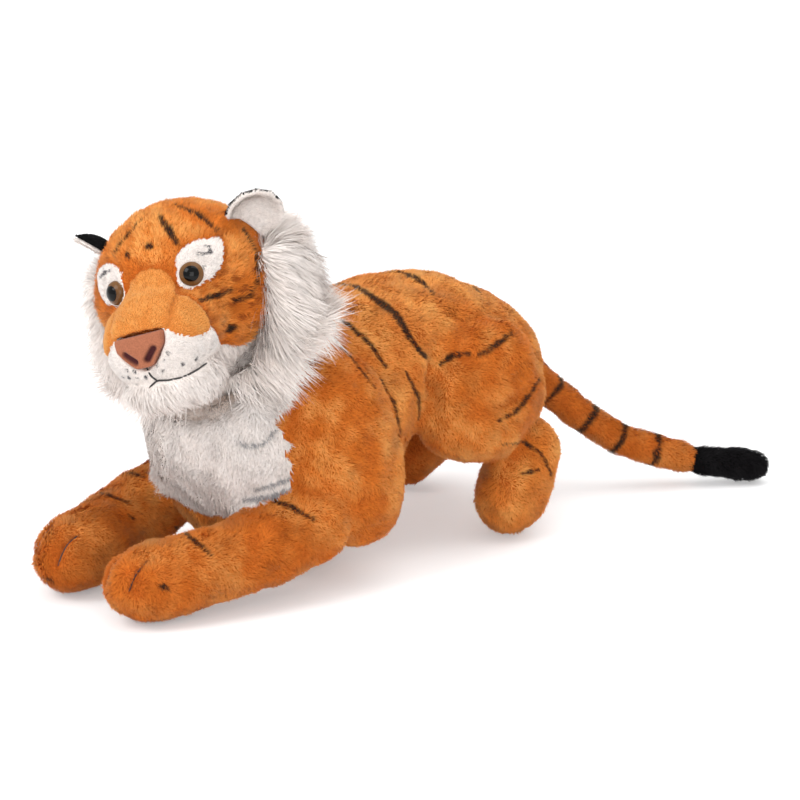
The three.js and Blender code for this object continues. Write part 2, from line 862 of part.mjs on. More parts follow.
const muzzle = cut(muzzleForm, skullRoom, noseRoom, ...eyeRooms);
function bridgeBlock(margin) {
  const shape = new THREE.Shape([
    new THREE.Vector2(-bridgeFrontWidth / 2 - margin, noseFront),
    new THREE.Vector2(bridgeFrontWidth / 2 + margin, noseFront),
    new THREE.Vector2(bridgeBackWidth / 2 + margin, muzzleBack),
    new THREE.Vector2(-bridgeBackWidth / 2 - margin, muzzleBack),
  ]);
  const solid = new THREE.ExtrudeGeometry(shape, { depth: cutReach, bevelEnabled: false });
  return solid.translate(0, 0, lipLine - margin);
}
const aboveLips = block(new THREE.Vector3(0, 0, lipLine), upwards);
const belowLips = block(new THREE.Vector3(0, 0, lipLine - seamGap), upwards.clone().negate());
const upperMuzzle = keep(muzzle, aboveLips);
const lowerMuzzle = keep(muzzle, belowLips);
addPiece(head, "muzzle_bridge", keep(upperMuzzle, bridgeBlock(0)), "tan");
for (const { side, sign } of sides) {
  const half = block(new THREE.Vector3(sign * seamGap / 2, 0, 0), sideways.clone().multiplyScalar(sign));
  addPiece(head, `muzzle_side_${side}`, cut(keep(upperMuzzle, half), bridgeBlock(seamGap)), "tan");
  addPiece(head, `lip_${side}`, keep(lowerMuzzle, half), "white");
}
addPiece(head, "chin", cut(chinForm, skullRoom, muzzleRoom, neckInHead, bodyInHead), "white");

// Mouth stitch along both lips
function onMuzzle(x, z) {
  const from = new THREE.Vector3(x, muzzleFront - muzzleLength, z);
  return surfacePoint(muzzleForm, from, backwards, threadThickness);
}
const lipHalf = mouthShares.map(([x, z]) => [x * mouthHalfWidth, mouthHeight + z * muzzleHeight]);
const mouthMiddle = [0, mouthHeight + threadThickness];
const mouthLine = [...lipHalf, mouthMiddle, ...lipHalf.map(([x, z]) => [-x, z]).reverse()];
const mouthPoints = mouthLine.map(([x, z]) => onMuzzle(x, z));
addPiece(head, "mouth_stitch", thread(mouthPoints, muzzleForm), "thread");

// White patch over each eye
const browOutline = browShares.map(([x, z]) => [browSide + x * browWidth, browRise + z * browHeight]);
const browLayer = cut(grown(skullForm, browThickness), skullRoom);
const browBlock = prism(browOutline, -skullDepth, 0);
const muzzleSeat = grown(muzzleForm, seamGap);
for (const { side, face } of sides) {
  addPiece(head, `brow_${side}`, cut(keep(browLayer, face(browBlock)), muzzleSeat, ...eyeRooms), "white");
}

// Ears, each in a group at the line where it folds
const earEdge = Math.acos(earRadius / earDish);
function dish(outer, inner) {
  const back = arc(earDish, outer, -outer, quarter, earEdge, 4);
  const front = arc(earDish, inner, -inner, earEdge, quarter, 4);
  return turned([...back, ...front], smallRing);
}
const earRooms = {};
for (const { side, sign, earLean, earOpen } of sides) {
  const lean = new THREE.Matrix4().makeRotationY(degToRad(sign * earLean));
  const open = new THREE.Matrix4().makeRotationZ(degToRad(sign * earOpen));
  const place = new THREE.Matrix4().makeTranslation(0, 0, earSeat);
  const shift = new THREE.Matrix4().makeTranslation(0, earPlace, 0);
  const earMatrix = shift.multiply(lean).multiply(place).multiply(open);
  const inwards = new THREE.Vector3(-sign * Math.sin(degToRad(earLean)), 0, -Math.cos(degToRad(earLean)));
  const outside = inwards.clone().multiplyScalar(-skullWidth).setY(earPlace);
  const hinge = surfacePoint(skullForm, outside, inwards, 0);
  hinge.addScaledVector(backwards.clone().transformDirection(earMatrix), -earFoldForward);
  const hingeAxis = sideways.clone().transformDirection(earMatrix);
  const skullSweep = swept(skullForm, hinge, hingeAxis, [-earFold, 0, earFold]);
  earRooms[side] = ball(new THREE.Vector3().applyMatrix4(earMatrix), earRadius + earClearance);
  const ear = pivotGroup(head, hinge);
  const backLayer = moved(dish(earDish, earDish - earLayer), earMatrix);
  const frontLayer = moved(dish(earDish - earLayer - seamGap, earDish - 2 * earLayer - seamGap), earMatrix);
  addPiece(ear, `ear_${side}_back`, cut(backLayer, ...skullSweep), "black");
  addPiece(ear, `ear_${side}_front`, cut(frontLayer, ...skullSweep), "white");
}

// Ruff halves behind the cheeks, clear of the ears and the body
const chinRoom = grown(chinForm, seamGap);
for (const { side, face } of sides) {
  const half = cut(face(ruffForm), skullRoom, chinRoom, muzzleRoom, neckInHead, bodyInHead, earRooms[side]);
  addPiece(head, `ruff_${side}`, half, "white");
}

// The origin is on the ground under the middle of the whole toy
const bounds = new THREE.Box3().setFromObject(tiger, true);
tiger.position.set(-(bounds.min.x + bounds.max.x) / 2, -(bounds.min.y + bounds.max.y) / 2, -bounds.min.z);

export default tiger;
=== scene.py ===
"""Plush tiger: sewn covers with pile of mesh fibres, plastic eyes, a velour nose and stitched marks."""
import math
from collections import namedtuple
from functools import partial
from types import SimpleNamespace

import bpy
import numpy as np
from mathutils import Euler, Matrix, Vector
from mathutils.bvhtree import BVHTree


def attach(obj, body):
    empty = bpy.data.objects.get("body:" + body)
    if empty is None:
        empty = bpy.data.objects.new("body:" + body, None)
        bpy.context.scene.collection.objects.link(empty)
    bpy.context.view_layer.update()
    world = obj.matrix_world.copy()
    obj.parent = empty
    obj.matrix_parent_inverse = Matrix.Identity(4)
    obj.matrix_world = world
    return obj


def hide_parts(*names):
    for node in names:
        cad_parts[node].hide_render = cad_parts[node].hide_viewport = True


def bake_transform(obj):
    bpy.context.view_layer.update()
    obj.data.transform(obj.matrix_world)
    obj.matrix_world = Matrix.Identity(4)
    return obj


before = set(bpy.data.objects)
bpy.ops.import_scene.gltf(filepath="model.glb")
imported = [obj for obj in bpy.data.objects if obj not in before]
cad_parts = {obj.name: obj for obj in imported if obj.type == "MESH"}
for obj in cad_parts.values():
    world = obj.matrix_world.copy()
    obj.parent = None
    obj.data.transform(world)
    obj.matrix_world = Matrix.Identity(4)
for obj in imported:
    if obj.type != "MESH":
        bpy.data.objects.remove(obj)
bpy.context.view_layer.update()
mm = 0.001
rng = np.random.default_rng(7)

# The camera, and the size of the photograph that the pixels below belong to
PHOTO_SIZE = 800
CAMERA_AZIMUTH = 48
CAMERA_ELEVATION = 16
CAMERA_DISTANCE = 4000 * mm
CAMERA_TARGET = (13.9 * mm, -14.1 * mm, 160 * mm)
CAMERA_LENS = 161
CAMERA_SENSOR = 36
CAMERA_CLIP = 50

# The head's place and turn, the middle plane of the body, and the neck's ball
HEAD_PLACE = (-11.1 * mm, -295.1 * mm, 335 * mm)
HEAD_TURN = (-3, -18, 28)
MIDDLE = -11.1 * mm
NECK_PLACE = (-11.1 * mm, -241.1 * mm, 258 * mm)
NECK_REACH = 70 * mm

# Colours of the pile, each deep, middle and light, and of the other pieces
# The pile's deep colours are painted shade, on its backing, its roots and in creases; its light colours are
# painted light, on the tips
ORANGE = ((0.56, 0.120, 0.014), (0.88, 0.250, 0.032), (0.95, 0.460, 0.130))
TAN = ((0.66, 0.21, 0.040), (0.87, 0.33, 0.070), (0.92, 0.43, 0.120))
WHITE = ((0.91, 0.82, 0.765), (0.96, 0.88, 0.83), (0.97, 0.905, 0.865))
BLACK = ((0.002, 0.002, 0.002), (0.006, 0.005, 0.006), (0.014, 0.013, 0.014))
STRIPE = (0.040, 0.018, 0.010)
GREY = (0.17, 0.17, 0.19)
DOT_GREY = (0.05, 0.05, 0.06)
# Dark brown of the cheeks' curls, also used as painted shade along the toes' grooves
CURL_AND_GROOVE_SHADE = (0.30, 0.055, 0.010)
# Painted shade along the muzzle's seams
SEAM_PAINTED_SHADE = (0.30, 0.085, 0.016)
NOSE = (0.37, 0.130, 0.068)
# The nostrils' dark: partly their own colour, partly painted shade in their pressed-in hollows
NOSTRIL = (0.06, 0.012, 0.014)

# Marks on the body, in pixels of the photograph, each with its width in millimetres
BODY_MARKS = [
    ([(334, 286), (355, 288), (378, 302), (395, 315), (410, 340), (424, 357)], 10),
    ([(385, 271), (406, 275), (422, 284), (431, 295)], 8),
    ([(446, 272), (464, 281), (481, 296)], 6),
    ([(330, 318), (349, 326), (368, 344), (385, 367)], 6),
    ([(330, 336), (349, 357), (374, 388)], 3.5),
    ([(380, 380), (393, 403), (399, 432)], 3.5),
    ([(405, 372), (418, 397), (418, 418)], 4),
    ([(439, 365), (452, 355), (468, 353)], 6),
    ([(479, 355), (495, 346), (510, 334)], 6),
    ([(498, 420), (512, 414), (523, 403), (538, 380)], 5),
    ([(502, 443), (521, 441), (540, 453), (550, 474)], 4),
    ([(523, 474), (532, 471), (538, 470)], 5),
]
LEG_MARKS = [
    ([(173, 526), (190, 538), (205, 551), (210, 556)], 5),
    ([(272, 501), (291, 508), (312, 520)], 6),
    ([(95, 493), (110, 497), (126, 503)], 6),
    ([(124, 475), (134, 475), (143, 478)], 5),
    ([(160, 586), (166, 588)], 7),
    ([(48, 578), (53, 580)], 7),
]
TAIL_MARKS = [
    ([(533, 343), (538, 353)], 8),
    ([(553, 389), (568, 379)], 7),
    ([(587, 423), (603, 406)], 8),
    ([(620, 439), (632, 420)], 7),
    ([(658, 444), (661, 427)], 8),
]
BIB_MARKS = [
    ([(245, 500), (262, 500), (280, 495), (300, 486)], 8),
    ([(255, 490), (275, 484), (297, 477)], 5),
    ([(235, 440), (248, 446), (262, 445), (283, 420)], 3),
    ([(150, 435), (151, 442), (152, 448)], 3),
]
HEAD_MARKS = [
    ([(175, 207), (190, 212), (203, 220), (216, 231)], 6.5),
    ([(161, 219), (168, 229), (177, 244)], 8),
    ([(148, 246), (151, 248)], 9),
    ([(128, 255), (130, 257)], 6),
    ([(143, 222), (131, 234), (120, 247), (116, 256)], 4),
    ([(243, 232), (252, 248), (256, 264), (254, 283), (248, 295), (235, 300)], 9),
    ([(201, 301), (213, 297), (230, 290)], 7),
    ([(226, 329), (233, 326)], 11),
    ([(96, 319), (99, 327), (103, 335)], 5),
]
BROW_MARKS = [
    ([(205, 246), (210, 248), (210, 252), (206, 254), (198, 254)], 3.4),
    ([(201, 269), (205, 266)], 3.6),
    ([(101, 278), (105, 273), (110, 271)], 4),
    ([(107, 295), (111, 294)], 2.6),
]
# Painted shade along the muzzle's seams, in pixels, each with its width in millimetres
MUZZLE_SEAMS = [
    ([(177, 291), (172, 305), (170, 316), (168, 328)], 2.4),
    ([(122, 292), (130, 279), (140, 271), (152, 267), (166, 271), (176, 283), (177, 291)], 1.6),
    ([(177, 291), (190, 295), (201, 303), (209, 314), (214, 326)], 1.6),
]
WHISKER_DOTS = [
    (169, 353), (164, 360), (157, 365), (183, 364), (196, 359), (164, 370), (182, 373), (191, 370),
    (171, 375), (127, 370), (135, 372), (124, 377), (130, 378), (138, 378), (146, 377), (137, 386),
    (150, 387),
]
WHISKER_DOT = 4.2
DOT_RUN = 0.3

# The mouth's stitch, in pixels: down from the nose, and along both lips
MOUTH = [
    [(144, 361), (147, 369), (151, 376), (157, 380.5)],
    [(149, 388), (153, 384.5), (157, 380.5), (168, 380.5), (180, 378), (190, 374), (198, 369.5), (207, 363)],
]

# Outlines of the face's panels on the toy's left side, in pixels
PANELS = {
    "muzzle_bridge": [
        (118, 303), (122, 292), (130, 279), (140, 271), (152, 267), (166, 271), (176, 283), (177, 291),
        (172, 305), (170, 316), (167.5, 329), (150, 332), (136, 334), (121, 338), (112, 331),
    ],
    "muzzle_side": [
        (177, 291), (190, 295), (201, 303), (209, 314), (214, 326), (210, 333), (200, 336.5), (188, 337),
        (175, 333), (167.5, 329), (170, 316), (172, 305),
    ],
    "lip": [
        (162, 330), (167.5, 329), (175, 333), (188, 337), (200, 336.5), (210, 333), (214, 326), (220, 335),
        (223, 347), (221, 357), (212, 365), (200, 371), (183, 377), (158, 382), (145, 366), (150, 348),
    ],
    "chin": [
        (217, 358), (223, 347), (242, 348), (254, 337), (262, 324), (276, 328), (276, 400), (205, 400),
        (205, 367),
    ],
    "brow": [
        (176, 267), (174, 258), (181, 247), (194, 239), (208, 237), (220, 235), (226, 244), (225, 259),
        (222, 270), (212, 280), (202, 285), (188, 288), (178, 281),
    ],
}

# Folds pressed into the body's covers, with painted shade in them, in pixels, each with its depth in
# millimetres
FOLDS = [
    ([(407, 356), (418, 385), (421, 415), (413, 440)], 6),
    ([(440, 332), (434, 360), (432, 395), (437, 425)], 13),
    ([(441, 366), (452, 357), (470, 355), (486, 362)], 7),
    ([(470, 402), (500, 408), (525, 395), (540, 372)], 7),
    ([(396, 350), (406, 380), (405, 410)], 3),
    ([(250, 545), (262, 560), (270, 575)], 3),
]
FOLD_WIDTH = 9 * mm
FOLD_DEEPEST = 13
FOLD_ENDS = (0.1, 0.9)

SIDES = ("left", "right")
FLIP = np.array([-1, 1, 1])
FAR = 1.0
LEAST_LENGTH = 1e-9
LEAST_SQUARE = 1e-12
FADE_WIDTHS = 3
PIXEL_STEP = 3
WAVE_SPREAD = (0.7, 1.5)


# Geometry in arrays


def aimed(name, data, place, way, track):
    """Puts a camera or a lamp at a place, with one of its axes along a way."""
    made = bpy.data.objects.new(name, data)
    made.matrix_world = Matrix.Translation(place) @ way.to_track_quat(track, "Y").to_matrix().to_4x4()
    bpy.context.scene.collection.objects.link(made)
    return made


def camera():
    """The camera at the photograph's viewing angle."""
    data = bpy.data.cameras.new("camera")
    data.lens = CAMERA_LENS
    data.sensor_width = CAMERA_SENSOR
    data.clip_end = CAMERA_CLIP
    azimuth, elevation = math.radians(CAMERA_AZIMUTH), math.radians(CAMERA_ELEVATION)
    level = math.cos(elevation)
    back = Vector((math.sin(azimuth) * level, -math.cos(azimuth) * level, math.sin(elevation)))
    made = aimed("camera", data, Vector(CAMERA_TARGET) + back * CAMERA_DISTANCE, back, "Z")
    bpy.context.scene.camera = made
    return made.matrix_world.copy()


def pixel_ray(pixel):
    """Start and direction of the line through a pixel of the photograph."""
    across = (pixel[0] / PHOTO_SIZE - 0.5) * CAMERA_SENSOR / CAMERA_LENS
    up = (0.5 - pixel[1] / PHOTO_SIZE) * CAMERA_SENSOR / CAMERA_LENS
    return view.translation, (view.to_3x3() @ Vector((across, up, -1))).normalized()


def pixels_of(places):
    """Pixels of the photograph where places lie."""
    seen = (places - np.array(view.translation)) @ np.array(view.to_3x3())
    shares = seen[:, :2] / -seen[:, 2:] * CAMERA_LENS / CAMERA_SENSOR
    return (shares * (1, -1) + 0.5) * PHOTO_SIZE


def inside(outline, pixels):
    """Whether each pixel lies in a closed outline."""
    found = np.zeros(len(pixels), bool)
    for (x0, y0), (x1, y1) in zip(outline, outline[1:] + outline[:1]):
        if y0 != y1:
            crossed = (y0 > pixels[:, 1]) != (y1 > pixels[:, 1])
            found ^= crossed & (pixels[:, 0] < x0 + (pixels[:, 1] - y0) / (y1 - y0) * (x1 - x0))
    return found


def norms(vectors):
    return np.linalg.norm(vectors, axis=1)


def unit(vectors):
    return vectors / np.maximum(np.linalg.norm(vectors, axis=-1, keepdims=True), LEAST_LENGTH)


def step(low, high, values):
    """0 below low, 1 above high and smooth between."""
    share = np.clip((values - low) / (high - low), 0, 1)
    return share * share * (3 - 2 * share)


def mixed(a, b, share):
    share = np.asarray(share)[..., None]
    return np.asarray(a) * (1 - share) + np.asarray(b) * share


def same(row, count):
    return np.tile(np.asarray(row, float), (count, 1))


def gathered(items, field, width, kind):
    """A field of a mesh's items, with a row for each."""
    values = np.empty(len(items) * width, kind)
    items.foreach_get(field, values)
    return values.reshape(-1, width)


def places_of(mesh):
    return gathered(mesh.vertices, "co", 3, np.float32).astype(float)


def node_arrays(name):
    """Vertices and triangles of a CAD node."""
    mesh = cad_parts[name].data
    mesh.calc_loop_triangles()
    return places_of(mesh), gathered(mesh.loop_triangles, "vertices", 3, np.int32)


def middle_of(name):
    """The middle of a CAD node's box."""
    places, _ = node_arrays(name)
    return (places.min(0) + places.max(0)) / 2


def tree_of(places, faces):
    return BVHTree.FromPolygons(places.tolist(), faces.tolist())


def new_object(name, places, *face_arrays, cloth=None):
    """A smooth mesh object from arrays of places and of faces."""
    mesh = bpy.data.meshes.new(name)
    mesh.vertices.add(len(places))
    mesh.vertices.foreach_set("co", np.asarray(places, np.float32).ravel())
    loops = np.concatenate([faces.ravel() for faces in face_arrays])
    sizes = np.concatenate([np.full(len(faces), faces.shape[1]) for faces in face_arrays])
    mesh.loops.add(len(loops))
    mesh.loops.foreach_set("vertex_index", loops.astype(np.int32))
    mesh.polygons.add(len(sizes))
    mesh.polygons.foreach_set("loop_start", (np.cumsum(sizes) - sizes).astype(np.int32))
    mesh.polygons.foreach_set("use_smooth", np.ones(len(sizes), bool))
    mesh.update(calc_edges=True)
    if cloth:
        mesh.materials.append(cloth)
    made = bpy.data.objects.new(name, mesh)
    bpy.context.scene.collection.objects.link(made)
    return made


def edges_of(quads):
    pairs = np.concatenate([quads[:, [k, (k + 1) % 4]] for k in range(4)])
    return np.unique(np.sort(pairs, axis=1), axis=0)


def largest(places, quads):
    """The largest connected surface."""
    first, second = edges_of(quads).T
    label, lower = None, np.arange(len(places))
    while label is None or (lower != label).any():
        label, lower = lower, lower.copy()
        low = np.minimum(label[first], label[second])
        np.minimum.at(lower, first, low)
        np.minimum.at(lower, second, low)
        lower = lower[lower]
    chosen = np.bincount(label).argmax()
    used, local = np.unique(quads[label[quads[:, 0]] == chosen], return_inverse=True)
    return places[used], local.reshape(-1, 4)


def remeshed(names, voxel):
    """One closed surface of quads round several CAD nodes."""
    parts = [node_arrays(name) for name in names]
    starts = np.cumsum([0] + [len(places) for places, _ in parts])
    faces = np.concatenate([corners + start for (_, corners), start in zip(parts, starts)])
    rough = new_object("rough", np.concatenate([places for places, _ in parts]), faces)
    remesh = rough.modifiers.new("remesh", "REMESH")
    remesh.mode = "VOXEL"
    remesh.voxel_size = voxel
    solid = rough.evaluated_get(bpy.context.evaluated_depsgraph_get())
    mesh = solid.to_mesh()
    places, quads = places_of(mesh), gathered(mesh.polygons, "vertices", 4, np.int32)
    solid.to_mesh_clear()
    bpy.data.objects.remove(rough)
    return largest(places, quads)


def smoothed(values, quads, rounds):
    """Values at the vertices, such as their places, drawn towards the mean of their neighbours."""
    edges = edges_of(quads)
    here, there = np.concatenate([edges, edges[:, ::-1]]).T
    total = partial(np.bincount, here, minlength=len(values))
    count = np.maximum(total(), 1)
    columns = values.reshape(len(values), -1).T
    for _ in range(rounds):
        columns = [(column + total(weights=column[there]) / count) / 2 for column in columns]
    return np.stack(columns, axis=1).reshape(values.shape)


def normals_of(places, quads):
    """Outward unit vectors at the vertices."""
    a, b, c, d = (places[quads[:, k]] for k in range(4))
    flat = np.cross(c - a, d - b)
    total = np.zeros_like(places)
    for k in range(4):
        for axis in range(3):
            total[:, axis] += np.bincount(quads[:, k], weights=flat[:, axis], minlength=len(places))
    return unit(total)


def waves(places, length, seed, count=6):
    """A smooth random value, mostly within -1 to 1, that changes over about a length."""
    own = np.random.default_rng(seed)
    total = np.zeros(len(places))
    for _ in range(count):
        direction = own.normal(size=3)
        direction *= 2 * math.pi / (length * np.linalg.norm(direction) * own.uniform(*WAVE_SPREAD))
        total += np.sin(places @ direction + own.uniform(0, 2 * math.pi))
    return total / math.sqrt(count)


def node_distances(places, names, reach):
    """Each place's distance from each CAD node, where that is within reach."""
    found = np.full((len(names), len(places)), FAR)
    for row, name in enumerate(names):
        there, corners = node_arrays(name)
        low, high = there.min(0) - reach, there.max(0) + reach
        tree = tree_of(there, corners)
        for i in np.nonzero(((places > low) & (places < high)).all(1))[0]:
            hit = tree.find_nearest(places[i].tolist(), reach)
            if hit[0] is not None:
                found[row, i] = hit[3]
    return found


def on_surface(pixels, tree, lift=0):
    """Points where the lines through a row of pixels first meet a surface, lifted off it."""
    points = []
    for (x0, y0), (x1, y1) in zip(pixels[:-1], pixels[1:]):
        pieces = max(1, round(math.dist((x0, y0), (x1, y1)) / PIXEL_STEP))
        for share in np.arange(pieces + 1) / pieces:
            hit = tree.ray_cast(*pixel_ray((x0 + (x1 - x0) * share, y0 + (y1 - y0) * share)))
            if hit[0] is not None:
                points.append(hit[0] + hit[1] * lift)
    return np.array(points).reshape(-1, 3)


def line_distance(places, line, reach):
    """Each place's distance from a row of points within reach, and its share of the way along it."""
    away = np.full(len(places), FAR)
    along = np.zeros(len(places))
    if len(line) < 2:
        return away, along
    near = np.nonzero(((places > line.min(0) - reach) & (places < line.max(0) + reach)).all(1))[0]
    for k in range(len(line) - 1):
        start, run = line[k], line[k + 1] - line[k]
        if run @ run < LEAST_SQUARE:
            continue
        share = np.clip((places[near] - start) @ run / (run @ run), 0, 1)
        gap = norms(places[near] - start - share[:, None] * run)
        closer = gap < away[near]
        away[near[closer]] = gap[closer]
        along[near[closer]] = (k + share[closer]) / (len(line) - 1)
    return away, along


def nearness(places, line, width):
    """1 on a row of points and less beside it, over about a width, and the share of the way along it."""
    away, along = line_distance(places, line, FADE_WIDTHS * width)
    return np.exp(-(away / width) ** 2), along


def slice_middles(places, order, count):
    """Middles of the slices of some places, cut by a value that each place has."""
    edges = np.linspace(order.min(), order.max(), count + 1)
    slots = np.clip(np.searchsorted(edges, order) - 1, 0, count - 1)
    return np.array([places[slots == k].mean(0) for k in range(count) if (slots == k).any()])


def in_head(places):
    """Places in the head's own frame: it faces -Y and its left side is +X."""
    return (places - HEAD[:3, 3]) @ HEAD[:3, :3]


def from_head(places):
    return places @ HEAD[:3, :3].T + HEAD[:3, 3]


def other_side(line, on_head):
    """The same line on the side that the photograph doesn't show."""
    if on_head:
        return from_head(in_head(line) * FLIP)
    return (line - (MIDDLE, 0, 0)) * FLIP + (MIDDLE, 0, 0)


view = camera()
TO_CAMERA = np.array(view.translation) - CAMERA_TARGET
turn = Euler([math.radians(angle) for angle in HEAD_TURN], "XYZ").to_matrix().to_4x4()
HEAD = np.array(Matrix.Translation(HEAD_PLACE) @ turn)


# Materials
GRAIN_SPOTS = (0.32, 0.68)


def wired(tree, node, inputs):
    """Gives inputs of a node their values or links."""
    for key, value in inputs.items():
        if isinstance(value, bpy.types.NodeSocket):
            tree.links.new(value, node.inputs[key])
        else:
            node.inputs[key].default_value = value
    return node


def added(tree, kind, inputs, **settings):
    """A new node with its settings and inputs."""
    node = tree.nodes.new(f"ShaderNode{kind}")
    for key, value in settings.items():
        setattr(node, key, value)
    return wired(tree, node, inputs)


def material(name, surface, *facts):
    """A material whose shader has the inputs that a surface gives."""
    made = bpy.data.materials.new(name)
    made.use_nodes = True
    wired(made.node_tree, made.node_tree.nodes["Principled BSDF"], surface(made.node_tree, *facts))
    return made


def on_object(tree):
    return added(tree, "TexCoord", {}).outputs["Object"]


def ramp(tree, share, low, high, spots=(0, 1)):
    """Colours from low to high by a share."""
    node = added(tree, "ValToRGB", {"Fac": share})
    for element, spot, colour in zip(node.color_ramp.elements, spots, (low, high)):
        element.position = spot
        element.color = (*colour, 1)
    return node.outputs["Color"]


def grain(tree, scale, detail, low, high):
    """A fine grey grain that lies on the object, and its noise."""
    noise = added(tree, "TexNoise", {"Vector": on_object(tree), "Scale": scale, "Detail": detail})
    height = noise.outputs["Fac"]
    return ramp(tree, height, (low,) * 3, (high,) * 3, GRAIN_SPOTS), height


def multiplied(tree, colour, shade):
    inputs = {0: 1, 6: colour, 7: shade}
    return added(tree, "Mix", inputs, data_type="RGBA", blend_type="MULTIPLY").outputs[2]


def bump(tree, height, strength, distance):
    inputs = {"Strength": strength, "Distance": distance, "Height": height}
    return added(tree, "Bump", inputs).outputs["Normal"]


def dye(tree):
    """The colour stored with each vertex."""
    return added(tree, "VertexColor", {}, layer_name="dye").outputs["Color"]


def pile_surface(tree, gloss, sheen, tint, scale):
    """Pile: the colour stored with each fibre, with a fine variation over it."""
    shade, _ = grain(tree, scale, detail=3, low=0.88, high=1.08)
    return {
        "Roughness": 0.6, "Specular IOR Level": gloss, "Sheen Weight": sheen, "Sheen Roughness": 0.4,
        "Sheen Tint": (*tint, 1), "Base Color": multiplied(tree, dye(tree), shade),
    }


def backing_surface(tree):
    """The knitted backing that the pile stands on, in the pile's deep colour, which is painted shade under
    the pile.
    """
    shade, height = grain(tree, scale=900, detail=4, low=0.7, high=1.05)
    return {
        "Roughness": 0.95, "Specular IOR Level": 0.1, "Base Color": multiplied(tree, dye(tree), shade),
        "Normal": bump(tree, height, strength=0.5, distance=0.001),
    }


def thread_surface(tree):
    """Twisted dark thread."""
    inputs = {"Vector": on_object(tree), "Scale": 260, "Distortion": 1.5}
    twist = added(tree, "TexWave", inputs).outputs["Fac"]
    return {
        "Roughness": 0.6, "Sheen Weight": 0.1,
        "Base Color": ramp(tree, twist, low=(0.010, 0.008, 0.008), high=(0.04, 0.034, 0.032)),
        "Normal": bump(tree, twist, strength=0.5, distance=0.0004),
    }


def velour_surface(tree):
    """Short velour of the nose pad."""
    shade, height = grain(tree, scale=700, detail=5, low=0.78, high=1.12)
    return {
        "Roughness": 0.75, "Sheen Weight": 0.15, "Sheen Roughness": 0.4, "Specular IOR Level": 0.15,
        "Base Color": multiplied(tree, dye(tree), shade),
        "Normal": bump(tree, height, strength=0.45, distance=0.0006),
    }


def plastic_surface(tree, inner, outer, roughness):
    """Coloured plastic under a clear coat, changing from its middle to its rim."""
    shade, _ = grain(tree, scale=420, detail=2, low=0.9, high=1.1)
    return {
        "Roughness": roughness, "Specular IOR Level": 0.05, "Coat Weight": 0.7, "Coat IOR": 1.3,
        "Coat Roughness": 0.02, "Base Color": multiplied(tree, ramp(tree, dye(tree), inner, outer), shade),
    }


def washer_surface(tree):
    shade, height = grain(tree, scale=500, detail=3, low=0.72, high=0.82)
    normal = bump(tree, height, strength=0.2, distance=0.0003)
    return {"Roughness": 0.5, "Base Color": shade, "Normal": normal}


def dyed(made, colours):
    """Stores a colour for each vertex."""
    layer = made.data.color_attributes.new("dye", "FLOAT_COLOR", "POINT")
    rgba = np.ones((len(colours), 4), np.float32)
    rgba[:, :3] = colours
    layer.data.foreach_set("color", rgba.ravel())


# Each pile's material, with its gloss, its sheen and the sheen's tint, and the scale of its grain
PILES = {
    "orange_pile": ("orange_plush_pile", 0.08, 0.20, (1.0, 0.60, 0.30), 300),
    "tan_pile": ("tan_sheared_pile", 0.08, 0.25, (1.0, 0.72, 0.42), 500),
    "white_pile": ("white_plush_pile", 0.10, 0.20, (1.0, 0.97, 0.94), 300),
    "black_pile": ("black_plush_pile", 0.05, 0.02, (0.8, 0.8, 0.9), 300),
    "long_white_pile": ("long_white_pile", 0.15, 0.20, (1.0, 0.97, 0.94), 120),
}
PILES = {slot: material(name, pile_surface, *facts) for slot, (name, *facts) in PILES.items()}
BACKING = material("pile_backing", backing_surface)
THREAD = material("stitch_thread", thread_surface)


# Stitches
THREAD_RADIUS = 1 * mm
THREAD_SIDES = 8
THREAD_START = 30 * mm
THREAD_ACROSS = (0.31, 0.52, 0.79)
THREAD_END = (0.25, 0.5)
LINE_ROUNDS = 3


def ring_quads(index):
    """Quads between rows of a closed ring's vertices."""
    here, there = index[:-1], index[1:]
    return np.stack([here, np.roll(here, -1, 1), np.roll(there, -1, 1), there], axis=-1).reshape(-1, 4)


def circle(first, second, sides):
    """Unit vectors all round, from two that stand square to each other."""
    angles = (np.arange(sides) * 2 * math.pi / sides)[:, None]
    return first[..., None, :] * np.cos(angles) + second[..., None, :] * np.sin(angles)


def tube(name, lines):
    """Round threads along lines, with closed ends, in one mesh."""
    places, quads, caps, count = [], [], [], 0
    for line in lines:
        ways = unit(np.gradient(line, axis=0))
        first = unit(np.cross(ways, THREAD_ACROSS))
        from_end = np.minimum(np.arange(len(line)), np.arange(len(line))[::-1])
        swell = np.minimum(1, THREAD_END[0] + from_end * THREAD_END[1])
        ring = circle(first, np.cross(ways, first), THREAD_SIDES)
        places.append((line[:, None] + ring * (THREAD_RADIUS * swell)[:, None, None]).reshape(-1, 3))
        index = np.arange(len(line) * THREAD_SIDES).reshape(len(line), THREAD_SIDES) + count
        quads.append(ring_quads(index))
        caps += [index[0][::-1], index[-1]]
        count += index.size
    return new_object(name, np.concatenate(places), np.concatenate(quads), np.array(caps), cloth=THREAD)


def smooth_line(line, count=40):
    """Points spread evenly on a smooth curve through some points."""
    for _ in range(LINE_ROUNDS):
        line = np.concatenate([line[:1], (line[:-1] + line[1:]) / 2, line[-1:]])
    gaps = np.concatenate([[0], np.cumsum(norms(np.diff(line, axis=0)))])
    spots = np.linspace(0, gaps[-1], count)
    return np.stack([np.interp(spots, gaps, column) for column in line.T], axis=1)


def thread_line(name):
    """The middle line of a CAD thread."""
    places, _ = node_arrays(name)
    flat = places - places.mean(0)
    return slice_middles(places, flat @ np.linalg.svd(flat, full_matrices=False)[2][0], count=9)


